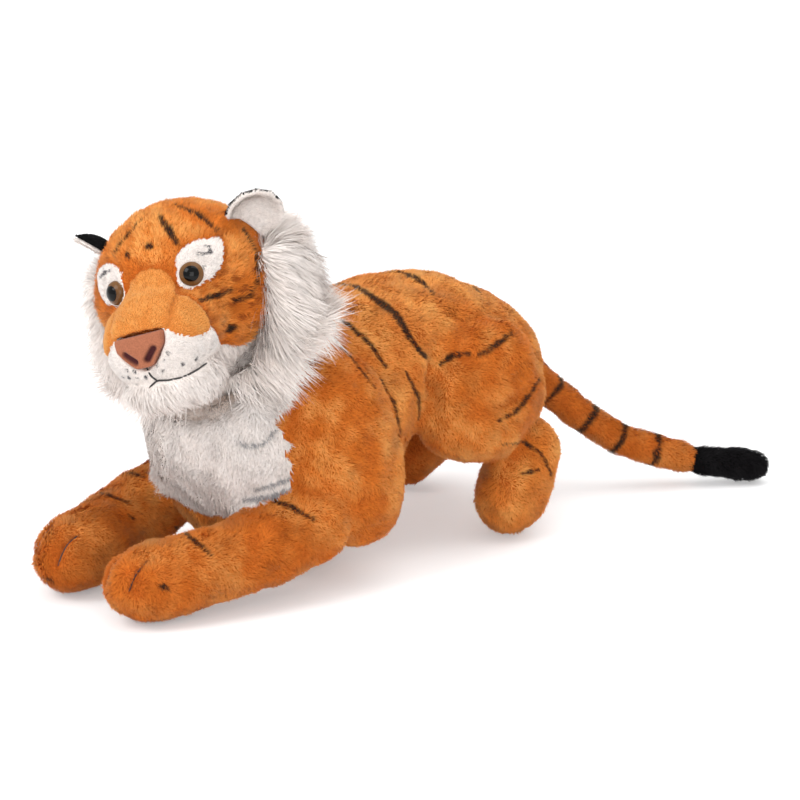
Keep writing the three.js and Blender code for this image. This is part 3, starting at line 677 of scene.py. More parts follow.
def laid(line, tree):
    """A line laid down on a surface from outside it."""
    points = smooth_line(line, count=12)
    way = unit(np.sum([tree.find_nearest(point)[1] for point in points.tolist()], axis=0))
    hits = [tree.ray_cast(Vector(point + way * THREAD_START), Vector(-way))[0] for point in points]
    return smooth_line(np.array([hit for hit in hits if hit is not None]))


def stitch(node, lines, rider):
    """The thread of one CAD stitch, along lines on a cover."""
    made = tube(f"{node}_thread", lines)
    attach(made, rider)
    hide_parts(node)


# Kinds of pile: fibres per square millimetre, their width, the size of the clumps, how steeply a fibre's
# two parts rise, how far its way spreads and strays from the lie, and how much the light on it follows
Pile = namedtuple("Pile", "density width clump rise spread stray tilt")
BODY_PILE = Pile(0.62, 1.15 * mm, 22 * mm, (0.95, 0.3), 0.45, 0.45, 0.22)
HEAD_PILE = Pile(0.75, 1.1 * mm, 13 * mm, (0.9, 0.4), 0.45, 0.4, 0.2)
SHORT_PILE = Pile(1.3, 0.9 * mm, 16 * mm, (1.0, 0.5), 0.5, 0.25, 0.08)
CHIN_PILE = Pile(0.9, 1.0 * mm, 18 * mm, (0.5, 0.15), 0.2, 0.16, 0.08)
RUFF_PILE = Pile(0.55, 1.15 * mm, 24 * mm, (0.35, 0.06), 0.12, 0.16, 0.08)
EAR_PILE = Pile(1.3, 0.9 * mm, 14 * mm, (0.6, 0.25), 0.4, 0.2, 0.08)
NECK_PILE = Pile(0.25, 1.6 * mm, 20 * mm, (0.8, 0.3), 0.4, 0.3, 0.1)
MOST_IN_PIECE = 60000
FLOOR_CLEARANCE = 0.4 * mm

# A fibre: the shares of its two parts, how deep it starts, how much its second part narrows and stands
# less, the tip's share in its colours, its cell in the map, and how widely fibres differ from each other
FIBRE_PARTS = (0.42, 0.58)
ROOT_DEPTH = 0.5 * mm
NARROWING = 0.12
STAND_LOSS = 0.4
TIP_SHARES = (0, 0, 0.6, 0.6, 1)
CELL = np.array([(0.2, 0.1), (0.8, 0.1), (0.2, 0.5), (0.8, 0.5), (0.5, 0.9)])
LENGTHS = (0.7, 1.2)
WIDTHS = (0.7, 1.3)
TWIST = 0.45
RISE_SPREAD = 0.15
LIGHT_SPREAD = 0.14
LIGHT_ALONG = 0.15

# Clumps: their waves' seeds, the size and length of the small ones, the length of their bends, and how
# they change the painted shade and light in the pile's colour, and the length of the pile
CLUMP_SEEDS = (11, 12, 13)
SMALL_CLUMPS = (0.6, 2.3)
BEND_LENGTH = 1.3
CLUMP_SHADE = 0.3
SHADE_SPREAD = 0.14
ROOT_SHADES = (0.35, 0.5)
TIP_SHADE = 0.9
CLUMP_LENGTH = 0.16
# Painted shade in creases, folds and seams: how far the pile there is dyed towards its deep colour, and how
# much shorter it is
CREASE_PAINTED_SHADE = 0.85
CREASE_CUT = 0.5

# The orange's patches: seed, long and short waves with the short ones' size, and its middle colour's shares
ORANGE_SEED = 5
PATCHES = (75 * mm, 30 * mm, 0.5)
SHORT_WAVES = 20
ORANGE_SHARES = (0.35, 0.2)

# Prints: their lift off the cover, how far from a line they reach, how its ends taper and its edge fades,
# and its ragged edge, from two wave lengths in millimetres with their seeds and sizes
PRINT_LIFT = 2 * mm
SHORT_LIFT = 0.7 * mm
PRINT_REACH = 14 * mm
TAPER = (0.45, 0.55)
TAPER_ENDS = (0.12, 0.88)
PRINT_EDGE = (-0.4 * mm, 1.4 * mm)
PRINT_RAGGED = ((8, 31, 0.8), (2.5, 32, 0.5))
FAINT = 0.8
FACING_AWAY = 0.1


def skin_of(places, quads, **more):
    """A surface that pile stands on, with what else is known at its vertices."""
    return SimpleNamespace(places=places, quads=quads, normals=normals_of(places, quads), **more)


def scattered(places, quads, density):
    """Random points spread evenly over a surface: three vertices and their shares for each."""
    triangles = np.concatenate([quads[:, [0, 1, 2]], quads[:, [0, 2, 3]]])
    a, b, c = (places[triangles[:, k]] for k in range(3))
    areas = norms(np.cross(b - a, c - a)) / 2
    count = max(1, int(areas.sum() * density))
    spots = (np.arange(count) + rng.uniform(0, 1, count)) / count * areas.sum()
    chosen = np.searchsorted(np.cumsum(areas), spots).clip(0, len(areas) - 1)
    u, v = rng.uniform(0, 1, (2, count))
    over = u + v > 1
    u[over], v[over] = 1 - u[over], 1 - v[over]
    return triangles[chosen], np.stack([1 - u - v, u, v], axis=1)


def fibres(name, kind, cloth, prints, roots, normals, facing, lie, length, stand, colour, tip):
    """Fibres as narrow pointed blades that leave the cover steeply and bend over along the lie."""
    count = len(roots)
    lie = unit(lie - (lie * normals).sum(1, keepdims=True) * normals)
    across = np.cross(normals, lie)
    turn = rng.normal(0, kind.spread, count)[:, None]
    lie, across = lie * np.cos(turn) + across * np.sin(turn), across * np.cos(turn) - lie * np.sin(turn)
    twist = rng.normal(0, TWIST, count)[:, None]
    across = across * np.cos(twist) + normals * np.sin(twist)
    length = length * rng.uniform(*LENGTHS, count)
    width = kind.width * rng.uniform(*WIDTHS, count)
    rises = rng.normal(0, RISE_SPREAD, count)[:, None]
    rows, spot = [], roots - normals * ROOT_DEPTH
    for k, share in enumerate(FIBRE_PARTS):
        half = across * (width * (0.5 - NARROWING * k))[:, None]
        rows += [spot + half, spot - half]
        angle = kind.rise[k] + rises + (stand * (1 - STAND_LOSS * k))[:, None]
        spot = spot + (lie * np.cos(angle) + normals * np.sin(angle)) * (length * share)[:, None]
    rows.append(spot)
    places = np.stack(rows, axis=1).reshape(-1, 3)
    places[:, 2] = np.maximum(places[:, 2], FLOOR_CLEARANCE)
    base = np.arange(count)[:, None] * len(rows)
    made = new_object(name, places, base + [0, 1, 3, 2], base + [2, 3, 4], cloth=cloth)
    shades = [mixed(colour, tip, np.full(count, share)) for share in TIP_SHARES]
    shades = np.stack(shades, axis=1).reshape(-1, 3)
    for share_at, ink, strength in prints:
        shades = mixed(shades, ink, share_at(places) * strength)
    dyed(made, shades)
    facing = unit(facing + rng.normal(0, LIGHT_SPREAD, (count, 3)) + LIGHT_ALONG * lie)
    made.data.normals_split_custom_set_from_vertices(np.repeat(facing, len(rows), axis=0))
    mapped(made, count)
    return made


def mapped(made, count):
    """Gives each fibre its own cell of the map."""
    side = math.ceil(math.sqrt(count))
    index = np.arange(count)
    spots = (np.stack([index % side, index // side], axis=1)[:, None, :] + CELL[None]) / side
    layer = made.data.uv_layers.new(name="OFBake")
    loops = gathered(made.data.loops, "vertex_index", 1, np.int32)[:, 0]
    layer.data.foreach_set("uv", spots.reshape(-1, 2)[loops].astype(np.float32).ravel())


def coat(name, skin, faces, kind, look, cloth):
    """Pile over some faces of a skin. The look gives dyes, lie and lengths at the roots."""
    corners, shares = scattered(skin.places, faces, kind.density / mm ** 2)

    def at_roots(values):
        return (values.reshape(len(values), -1)[corners] * shares[..., None]).sum(1)

    roots, normals = at_roots(skin.places), unit(at_roots(skin.normals))
    count = len(roots)
    made = {"stand": np.zeros(count), "keep": np.ones(count, bool), "prints": [], "toned": False}
    made |= look(roots)
    deep, middle, light = made["dyes"]
    # Tones by part, partly the parts' own and partly painted shade and light, towards the deep or the light
    # colour
    if made["toned"]:
        tone = at_roots(skin.tone)
        aim = np.where(tone > 0, ORANGE[0], ORANGE[2])
        deep, middle, light = mixed(made["dyes"], aim, np.abs(tone[:, 0]))
    first, second, third = CLUMP_SEEDS
    size, finer_by = SMALL_CLUMPS
    clump = waves(roots, kind.clump, first) + size * waves(roots, kind.clump / finer_by, second)
    bend = np.stack([waves(roots, kind.clump * BEND_LENGTH, third + axis) for axis in range(3)], axis=1)
    lie = unit(made["lie"]) + kind.stray * bend
    facing = normals + kind.tilt * bend
    # Painted shade and light along each fibre: the root is dyed towards the deep colour, the tip towards the
    # light one, more or less in each clump
    shade = np.clip(0.5 + CLUMP_SHADE * clump + rng.normal(0, SHADE_SPREAD, count), 0, 1)
    colour = mixed(deep, middle, ROOT_SHADES[0] + ROOT_SHADES[1] * shade)
    tip = mixed(middle, light, shade * TIP_SHADE)
    length = made["length"] * (1 + CLUMP_LENGTH * clump)
    # Painted shade in creases, folds, seams and toe grooves, where the pile is also cut shorter
    if hasattr(skin, "crease"):
        crease = at_roots(skin.crease)[:, 0]
        colour, tip = (mixed(each, deep, CREASE_PAINTED_SHADE * crease) for each in (colour, tip))
        length = length * (1 - CREASE_CUT * crease)
    kept = np.nonzero(made["keep"])[0]
    facts = (roots, normals, facing, lie, length, made["stand"], colour, tip)
    return [
        fibres(f"{name}_{number}", kind, PILES[cloth], made["prints"], *(fact[chosen] for fact in facts))
        for number, chosen in enumerate(np.array_split(kept, len(kept) // MOST_IN_PIECE + 1), 1)
    ]


def dressed(node, skin, faces, backing, kind, look, rider, slot, cloth=None):
    """Gives a CAD node its cover and its pile."""
    used, local = np.unique(faces, return_inverse=True)
    base = new_object(f"{node}_cover", skin.places[used], local.reshape(-1, 4), cloth=BACKING)
    # The cover takes the pile's deep colour, painted shade under the pile, unless a look gives a cover
    # colour of its own
    dyed(base, backing[used])
    for piece in [base] + coat(f"{node}_pile", skin, faces, kind, look, cloth or slot):
        tied(piece, node, rider)
    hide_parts(node)


def faces_of(skin, index):
    """The faces of a skin that belong to one of its nodes."""
    return skin.quads[skin.label[skin.quads[:, 0]] == index]


def orange_dyes(roots, seed=ORANGE_SEED):
    """The body's orange, a little paler or deeper from place to place."""
    deep, middle, light = ORANGE
    long, short, size = PATCHES
    patch = step(-1.0, 1.0, waves(roots, long, seed) + size * waves(roots, short, seed + SHORT_WAVES))
    paler, deeper = ORANGE_SHARES
    return np.stack([
        same(deep, len(roots)),
        mixed(mixed(deep, middle, paler), mixed(middle, light, deeper), patch),
        mixed(middle, light, patch),
    ])


def plain_dyes(colours, roots):
    return np.stack([same(colour, len(roots)) for colour in colours])


def ragged(places, rows):
    """How far an edge strays at some places."""
    return sum(waves(places, length * mm, seed) * size * mm for length, seed, size in rows)


def line_share(lines, places):
    """The ink at places in the pile from ragged lines: rows of points with their widths."""
    share = np.zeros(len(places))
    stray = ragged(places, PRINT_RAGGED)
    for line, width in lines:
        away, along = line_distance(places, line, PRINT_REACH)
        taper = TAPER[0] + TAPER[1] * np.sin(np.pi * np.clip(along, *TAPER_ENDS))
        share = np.maximum(share, 1 - step(*PRINT_EDGE, away + stray - width / 2 * taper))
    return share


def inked(lines, ink, strength=1):
    """A print of lines: what gives its share at places, its colour and its strength."""
    return partial(line_share, lines), ink, strength


def seen_lines(marks, tree, on_head=False, both=True, lift=PRINT_LIFT):
    """Marks as rows of points in the pile on a surface, with their widths, and on both sides: those of the
    other side end where the photograph would show them."""
    lines = []
    for pixels, width in marks:
        line = on_surface(pixels, tree, lift)
        if len(line) > 1:
            lines.append((line, width * mm))
        if len(line) > 1 and both:
            line = other_side(line, on_head)
            ways = np.array([tree.find_nearest(point)[1] for point in line.tolist()])
            line = line[ways @ unit(TO_CAMERA) < FACING_AWAY]
            if len(line) > 1:
                lines.append((line, width * mm))
    return lines


def clear_of(roots, lines):
    """Roots that are out of the neck's room and beside some threads."""
    keep = norms(roots - NECK_PLACE) > NECK_REACH
    for line in lines:
        keep &= line_distance(roots, line, THREAD_REACH)[0] > THREAD_CLEARANCE
    return keep


def tied(piece, node, rider):
    """Ties a piece to the body that it moves with. A limb's piece is only given its place in the world: it
    is tied to no body and not bent across the seam.
    """
    if node not in LIMB_SEAMS:
        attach(piece, rider)
        return
    seam, way, reach = LIMB_SEAMS[node]
    way = unit(np.array(way, float))
    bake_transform(piece)


def pairs(*parts):
    return [f"{part}_{side}" for part in parts for side in SIDES]


# The body
BODY_NODES = ["torso", "chest_bib", *pairs("shoulder", "haunch", "foreleg", "hind_foot"), "tail", "tail_tip"]
BODY_INSET = 3.6 * mm
BODY_FLOOR = 1.2 * mm
BODY_DENTS = 1.4 * mm
LABEL_REACH = 25 * mm
SEAM_DEPTH = 4.5 * mm
SEAM_WIDTH = 7 * mm
SEAM_REACH = 14 * mm
SEAM_CREASE = 0.5
LAST_SMOOTHING = 2
BODY_LENGTH = 7 * mm
BIB_LENGTH = 8 * mm
THROAT = (185 * mm, 235 * mm)
THROAT_LENGTH = 11 * mm
THROAT_BACK = 32 * mm

# The white of the torso's front ends between these places, to the back, to the sides and below
FRONT_BACK = (-276 * mm, -262 * mm)
FRONT_SIDES = (72 * mm, 84 * mm)
FRONT_FOOT = (110 * mm, 130 * mm)

# Seams between the torso and the limbs, each with its way out, and the reach of a bend before and after it;
# nothing bends the pieces across them
LIMB_SEAMS = {
    "foreleg_left": ((94.9, -214.1, 80), (-0.15, -1, -0.1), (20, 95)),
    "foreleg_right": ((-117.1, -214.1, 80), (0.15, -1, -0.1), (20, 95)),
    "hind_foot_left": ((88.9, 108.9, 92), (0, -0.7, -0.7), (5, 60)),
    "hind_foot_right": ((-111.1, 150.9, 92), (0, -0.7, -0.7), (5, 60)),
    "tail": ((-11.1, 188.9, 168), (0, 1, -0.2), (8, 60)),
}
RIDERS = {"tail_tip": "tail"}

# The way that the pile lies on the parts on the left, on the others, and how it drops on the tail
LIES = {"chest_bib": (0, -0.25, -1), "foreleg": (-0.3, 0.75, -0.6), "hind_foot": (-0.2, 0.6, -0.8)}
COMMON_LIE = (0, 0.8, -0.75)
TAIL_DROP = (0, 0, -0.25)

# How much deeper the orange of some parts is, or how much lighter where it is negative: partly the parts'
# own tone and partly painted shade and light
DEEPER = {
    "torso": -0.2, "tail": 0.5, "shoulder_left": 0.14, "shoulder_right": 0.14, "foreleg_left": 0.4,
    "foreleg_right": 0.45, "haunch_left": 0.22, "haunch_right": 0.22, "hind_foot_left": -0.15,
    "hind_foot_right": 0.45,
}

# The toes: the groove that the thread pulls in, the pile cut away beside it, and the width in millimetres of
# the painted shade along the thread
TOE_STITCHES = [f"toe_stitch_{side}_{number}" for side in SIDES for number in (1, 2)]
TOE_GROOVE = 8 * mm
GROOVE_WIDTH = 7 * mm
THREAD_REACH = 5 * mm
THREAD_CLEARANCE = 2 * mm
TOE_PAINTED_SHADE_WIDTH = 6

# The tail's middle line and bands
TAIL_REACH = 100 * mm
BAND_EDGE = (-1 * mm, 1.5 * mm)
BAND_RAGGED = ((14, 41, 1.5), (3, 42, 0.7))


def labels_of(places, names):
    """The nearest CAD node of each place, and how near a seam between two of them lies."""
    away = node_distances(places, names, LABEL_REACH)
    order = np.argsort(away, axis=0)
    columns = np.arange(len(places))
    first, second = away[order[0], columns], away[order[1], columns]
    seam = np.exp(-((second - first) / SEAM_WIDTH) ** 2) * (second < SEAM_REACH)
    return order[0], seam


def body_skin():
    """The body's surface under its pile, with its seams and folds pressed in, and where shade is painted in
    them and in the toe grooves.
    """
    places, quads = remeshed(BODY_NODES, voxel=4 * mm)
    tree = tree_of(places, quads)
    label, seam = labels_of(places, BODY_NODES)
    soft = smoothed(places, quads, rounds=34)
    normals = normals_of(soft, quads)
    pressed = smoothed(seam * (label != BODY_NODES.index("chest_bib")), quads, rounds=3)
    depth = BODY_INSET + SEAM_DEPTH * pressed - BODY_DENTS * waves(soft, length=70 * mm, seed=3)
    # The crease share: where the pile gets painted shade and is cut shorter, along seams, folds and toe
    # grooves
    crease = SEAM_CREASE * pressed / pressed.max()
    for pixels, fold in FOLDS:
        line = on_surface(pixels, tree)
        for there in (line, other_side(line, False)):
            near, along = nearness(places, there, FOLD_WIDTH)
            share = near * np.sin(np.pi * np.clip(along, *FOLD_ENDS))
            depth += fold * mm * share
            crease = np.maximum(crease, share ** 2 * fold / FOLD_DEEPEST)
    for name in TOE_STITCHES:
        near, _ = nearness(soft, thread_line(name), GROOVE_WIDTH)
        depth += TOE_GROOVE * near
        crease = np.maximum(crease, near ** 2)
    soft = soft - normals * depth[:, None]
    soft[:, 2] = np.maximum(soft[:, 2], BODY_FLOOR)
    soft = smoothed(soft, quads, LAST_SMOOTHING)
    tree = tree_of(soft, quads)
    # Tones by part, partly painted shade and light, smoothed across the seams
    tone = np.array([DEEPER.get(name, 0) for name in BODY_NODES])[label]
    return skin_of(
        soft, quads, label=label, tree=tree, crease=crease, tone=smoothed(tone, quads, rounds=160),
        stitches=[laid(thread_line(name), tree) for name in TOE_STITCHES])


def tail_marks(skin):
    """The tail's middle line, and where along it each band lies."""
    tail = skin.places[skin.label == BODY_NODES.index("tail")]
    skin.tail_line = slice_middles(tail, tail[:, 1], count=14)
    skin.tail_way = unit(skin.tail_line[-1] - skin.tail_line[0])
    skin.tail_bands = []
    for pixels, width in TAIL_MARKS:
        line = on_surface(pixels, skin.tree)
        if len(line):
            _, along = line_distance(line, skin.tail_line, TAIL_REACH)
            skin.tail_bands.append((along.mean(), width * mm))


def band_share(skin, places):
    """The ink at places in the pile from the bands round the tail."""
    _, along = line_distance(places, skin.tail_line, TAIL_REACH)
    length = norms(np.diff(skin.tail_line, axis=0)).sum()
    stray = ragged(places, BAND_RAGGED)
    share = np.zeros(len(places))
    for place, width in skin.tail_bands:
        inner, outer = (width / 2 + edge for edge in BAND_EDGE)
        share = np.maximum(share, 1 - step(inner, outer, np.abs(along - place) * length + stray))
    return share * (along > 0)


def white_front(roots):
    """Share of white over the torso's front, above the chest panel."""
    back = THROAT_BACK * step(*THROAT, roots[:, 2])
    ahead = 1 - step(*FRONT_BACK, roots[:, 1] - back)
    between = 1 - step(*FRONT_SIDES, np.abs(roots[:, 0] - MIDDLE))
    return ahead * between * step(*FRONT_FOOT, roots[:, 2])


def body_lie(skin, name, count):
    """The way that the pile lies on one part of the body."""
    if name.startswith("tail"):
        return same(skin.tail_way + TAIL_DROP, count)
    way = next((way for part, way in LIES.items() if name.startswith(part)), COMMON_LIE)
    return same(np.array(way) * (FLIP if name.endswith("right") else 1), count)


def body_look(skin, name, roots):
    """How the pile of one part of the body looks and lies."""
    made = {
        "lie": body_lie(skin, name, len(roots)), "length": np.full(len(roots), BODY_LENGTH),
        "keep": clear_of(roots, skin.stitches),
    }
    if name == "chest_bib":
        made["dyes"] = plain_dyes(WHITE, roots)
        made["prints"] = [inked(skin.bib_lines, GREY, FAINT)]
        made["length"] = BIB_LENGTH + THROAT_LENGTH * step(*THROAT, roots[:, 2])
    elif name == "tail_tip":
        made["dyes"] = plain_dyes(BLACK, roots)
    else:
        made["dyes"] = orange_dyes(roots)
        made["toned"] = True
        made["prints"] = [inked(skin.lines, STRIPE)]
    if name == "tail":
        made["prints"] = [(partial(band_share, skin), STRIPE, 1)]
    if name.startswith("foreleg"):
        # Painted shade: a dark line along each toe thread, in the groove it pulls in
        made["prints"].append(inked([(line, TOE_PAINTED_SHADE_WIDTH * mm) for line in skin.stitches], CURL_AND_GROOVE_SHADE, FAINT))
    if name == "torso":
        made["dyes"] = mixed(made["dyes"], plain_dyes(WHITE, roots), white_front(roots))
    return made


def body():
    skin = body_skin()
    skin.lines = seen_lines(BODY_MARKS + LEG_MARKS, skin.tree)
    skin.bib_lines = seen_lines(BIB_MARKS, skin.tree, both=False)
    tail_marks(skin)
    slots = {"chest_bib": ("white_pile", WHITE), "tail_tip": ("black_pile", BLACK)}
    for index, name in enumerate(BODY_NODES):
        slot, colours = slots.get(name, ("orange_pile", ORANGE))
        # The cover under this part's pile in the deep colour: painted shade
        deep = same(colours[0], len(skin.places))
        if name == "torso":
            deep = mixed(deep, WHITE[0], white_front(skin.places))
        dressed(
            name, skin, faces_of(skin, index), deep, BODY_PILE, partial(body_look, skin, name),
            RIDERS.get(name, "torso"), slot)
    for name, line in zip(TOE_STITCHES, skin.stitches):
        stitch(name, [line], "foreleg_left" if "left" in name else "foreleg_right")


# The head
HEAD_NODES = ["head", "muzzle_bridge", *pairs("muzzle_side", "lip"), "chin", *pairs("brow")]
HEAD_INSET = 2.6 * mm
SHORT_INSET = 0.6 * mm
HEAD_SEAM_DEPTH = 3 * mm
NOSE_AT = (-8 * mm, -150 * mm, -40 * mm)
NOSE_REACH = 50 * mm
NOSE_CLEARANCE = 2 * mm
MOUTH_GROOVE = 1.2 * mm
MOUTH_WIDTH = 3 * mm
MOUTH_LIFT = 0.5 * mm
LIP_LEVEL = 352
EYE_RADIUS = 13 * mm
EYE_REACH = 30 * mm

# Where the cheeks begin and end to the sides and above, their curls, and how far from the nose the rim lies
CHEEK_SIDES = (35 * mm, 75 * mm)
CHEEK_TOP = (-10 * mm, 40 * mm)
CURLS = (-0.2, 1.2)
HEAD_RIM = (105 * mm, 150 * mm)

# How far from the mouth the chin's pile is short, where it hangs low, and how it turns down
MOUTH_SHORT = (0, 12 * mm)
CHIN_LOW = (-100 * mm, -65 * mm)
CHIN_WAY = ((1, 0.4, 1), (0, 0, -0.8))

# The pile's lengths in millimetres, with what two shares add to them
HEAD_LENGTHS = (5, 3.5, 3)
CHIN_LENGTHS = (5, 10, 8)
FACE_LENGTH = 2.7 * mm
BROW_LENGTH = 4 * mm


def lengths(sizes, first, second):
    """Lengths of pile from a size and from what two shares add to it."""
    return (sizes[0] + sizes[1] * first + sizes[2] * second) * mm


def panelled(places, normals, label):
    """The face's labels, moved to the panels' outlines in the photograph, the same on both sides."""
    names = np.array(HEAD_NODES)[label]
    local, ways = in_head(places), normals @ HEAD[:3, :3]
    left = local[:, 0] > 0
    mirror = np.where(left[:, None], 1, FLIP)
    facing = ((ways * mirror) @ HEAD[:3, :3].T) @ TO_CAMERA > 0
    pixels = pixels_of(from_head(local * mirror))
    movable = facing & (names != "chin")
    low_lip = np.char.startswith(names, "lip") & (pixels[:, 1] > LIP_LEVEL)
    names = np.where(movable & ~low_lip, "head", names)
    side = np.where(left, "_left", "_right")
    for panel, outline in PANELS.items():
        full = panel if panel in HEAD_NODES else np.char.add(panel, side)
        names = np.where(movable & inside(outline, pixels), full, names)
    return np.array([HEAD_NODES.index(name) for name in names])


def head_skin():
    """The head's surface under its pile, with the panels' seams pressed in, and shade painted along them."""
    places, quads = remeshed(HEAD_NODES, voxel=2.5 * mm)
    tree = tree_of(places, quads)
    label, _ = labels_of(places, HEAD_NODES)
    soft = smoothed(places, quads, rounds=24)
    label = panelled(soft, normals_of(soft, quads), label)
    names = np.array(HEAD_NODES)[label]
    short = np.char.startswith(names, "muzzle") | np.char.startswith(names, "lip")
    edge = np.zeros(len(places))
    edge[quads[(label[quads] != label[quads[:, :1]]).any(axis=1)]] = 1
    seam = smoothed(edge, quads, rounds=4)
    inset = np.where(short, SHORT_INSET, HEAD_INSET)
    press = np.where(np.char.startswith(names, "brow"), 0, HEAD_SEAM_DEPTH) * seam
    for pixels in MOUTH:
        press += MOUTH_GROOVE * nearness(soft, on_surface(pixels, tree), MOUTH_WIDTH)[0]
    depth = smoothed(inset + press, quads, LAST_SMOOTHING)
    soft = soft - normals_of(soft, quads) * depth[:, None]
    tree = tree_of(soft, quads)
    # The crease share follows the seams: shade is painted on the pile there
    return skin_of(
        soft, quads, label=label, tree=tree, crease=seam / seam.max(),
        stitches=[smooth_line(on_surface(pixels, tree, MOUTH_LIFT)) for pixels in MOUTH])


def clear_of_face(roots, stitches):
    """Roots that don't stand under the nose pad, an eye or a thread, or in the neck's room."""
    keep = clear_of(roots, stitches)
    tree = tree_of(*node_arrays("nose"))
    near = norms(roots - middle_of("nose")) < NOSE_REACH
    for i in np.nonzero(near)[0]:
        root = Vector(roots[i].tolist())
        place, way, _, away = tree.find_nearest(root)
        keep[i] &= (root - place).dot(way) > 0 and away > NOSE_CLEARANCE
    for side in SIDES:
        centre = middle_of(f"eye_pupil_{side}")
        axis = unit(centre - middle_of(f"eye_{side}"))
        away = roots - centre
        beside = away - (away @ axis)[:, None] * axis
        keep &= (norms(beside) > EYE_RADIUS) | (norms(away) > EYE_REACH)
    return keep


def head_look(skin, name, roots):
    """How the pile of one part of the head looks and lies."""
    local = in_head(roots)
    way = unit(local - NOSE_AT)
    made = {"dyes": plain_dyes(WHITE, roots), "length": np.full(len(roots), FACE_LENGTH)}
    if name == "head":
        cheek = step(*CHEEK_SIDES, np.abs(local[:, 0])) * (1 - step(*CHEEK_TOP, local[:, 2]))
        curls = step(*CURLS, waves(roots, length=11 * mm, seed=8)) * cheek
        made["dyes"] = mixed(orange_dyes(roots, seed=6), CURL_AND_GROOVE_SHADE, FAINT * curls)
        rim = step(*HEAD_RIM, norms(local - NOSE_AT))
        made["length"] = lengths(HEAD_LENGTHS, cheek, rim)
    elif name.startswith("muzzle"):
        made["dyes"] = plain_dyes(TAN, roots)
    elif name.startswith("brow"):
        made["length"] = np.full(len(roots), BROW_LENGTH)
    elif name == "chin":
        away = np.min([line_distance(roots, line, PRINT_REACH)[0] for line in skin.stitches], axis=0)
        low = 1 - step(*CHIN_LOW, local[:, 2])
        made["length"] = lengths(CHIN_LENGTHS, step(*MOUTH_SHORT, away), low)
        way = unit(way * CHIN_WAY[0] + CHIN_WAY[1])
    made["lie"] = way @ HEAD[:3, :3].T
    made["keep"] = clear_of_face(roots, skin.stitches)
    return made


def head():
    skin = head_skin()
    dots = [([(x - DOT_RUN, y), (x + DOT_RUN, y)], WHISKER_DOT) for x, y in WHISKER_DOTS]
    stripes = seen_lines(HEAD_MARKS, skin.tree, on_head=True)
    brow_lines = seen_lines(BROW_MARKS, skin.tree, both=False)
    dots = seen_lines(dots, skin.tree, both=False, lift=SHORT_LIFT)
    seams = seen_lines(MUZZLE_SEAMS, skin.tree, on_head=True, lift=SHORT_LIFT)
    kinds = {
        # The muzzle's seams get painted shade
        "muzzle": (SHORT_PILE, TAN, "tan_pile", [inked(seams, SEAM_PAINTED_SHADE, FAINT)]),
        "lip": (SHORT_PILE, WHITE, "white_pile", [inked(dots, DOT_GREY)]),
        "chin": (CHIN_PILE, WHITE, "white_pile", []),
        "brow": (HEAD_PILE, WHITE, "white_pile", [inked(brow_lines, DOT_GREY)]),
        "head": (HEAD_PILE, ORANGE, "orange_pile", [inked(stripes, STRIPE)]),
    }
    for index, name in enumerate(HEAD_NODES):
        kind, colours, slot, prints = kinds[name.split("_")[0]]
        dressed(
            name, skin, faces_of(skin, index), same(colours[0], len(skin.places)), kind,
            lambda roots: head_look(skin, name, roots) | {"prints": prints}, "head", slot)
    stitch("mouth_stitch", skin.stitches, "head")


# Ruff, ears and neck. The ruff's pile turns outwards, backwards and up, differently at its top
RUFF_VOXEL = 4 * mm
RUFF_SMOOTHING = 20
RUFF_INSET = (-4 * mm, 15 * mm)
RUFF_REACH = (95 * mm, 130 * mm)
RUFF_STAND = 0.4
RUFF_ACROSS = (0.9, 30)
RUFF_BACK = 60 * mm
RUFF_UP = (0.55, -40 * mm)
RUFF_TOP = (40 * mm, 85 * mm)
RUFF_LOW = (-120 * mm, 60 * mm)
RUFF_RISE = ((0.3, 0, 0), (0, -0.3, 1))
RUFF_DROP = (0, 0, -0.35)
RUFF_LENGTHS = (26, 20, -4)
EAR_VOXEL = 1.3 * mm
EAR_SMOOTHING = 12
EAR_SIZES = {"left": 1.0, "right": 0.85}
EAR_SEATS = {
    "left": (39.3 * mm, -259.6 * mm, 407.5 * mm),
    "right": (-94.1 * mm, -327.3 * mm, 365.0 * mm),
}

# Each ear's layers: colours, length of pile, inset, how far round the edge the pile grows, and slot
EAR_LAYERS = {
    "back": (BLACK, 2.2 * mm, 1.8 * mm, 0.55, "black_pile"),
    "front": (WHITE, 5 * mm, 0 * mm, -0.1, "white_pile"),
}
NECK_VOXEL = 4 * mm
NECK_SMOOTHING = 6
NECK_INSET = 4 * mm
NECK_LENGTH = 3 * mm
NECK_LIE = (0, 0.1, -1)
NAPE = (0.15, 0.45)
NAPE_WAY = (0, 0.8, 0.6)


def soft_piece(node, voxel, rounds, inset, kind, look, rider, slot, cloth=None, seat=None, size=1):
    """One CAD form, resized about its seat, as a cover with pile of its own."""
    places, quads = remeshed([node], voxel)
    if seat:
        places = np.array(seat) + (places - seat) * size
    soft = smoothed(places, quads, rounds)
    depth = smoothed(inset(soft), quads, rounds=3)
    skin = skin_of(soft - normals_of(soft, quads) * depth[:, None], quads)
    seen = look(skin.places)
    backing = seen.get("cover", seen["dyes"][0])
    dressed(node, skin, quads, backing, kind, look, rider, slot, cloth)


def even(depth):
    """The same inset everywhere."""
    return lambda places: np.full(len(places), depth)


def ruff_inset(places):
    """The ruff's pile stands on a cover that lies deeper away from the face."""
    away = norms(in_head(places)[:, [0, 2]])
    return RUFF_INSET[0] + (RUFF_INSET[1] - RUFF_INSET[0]) * step(*RUFF_REACH, away)


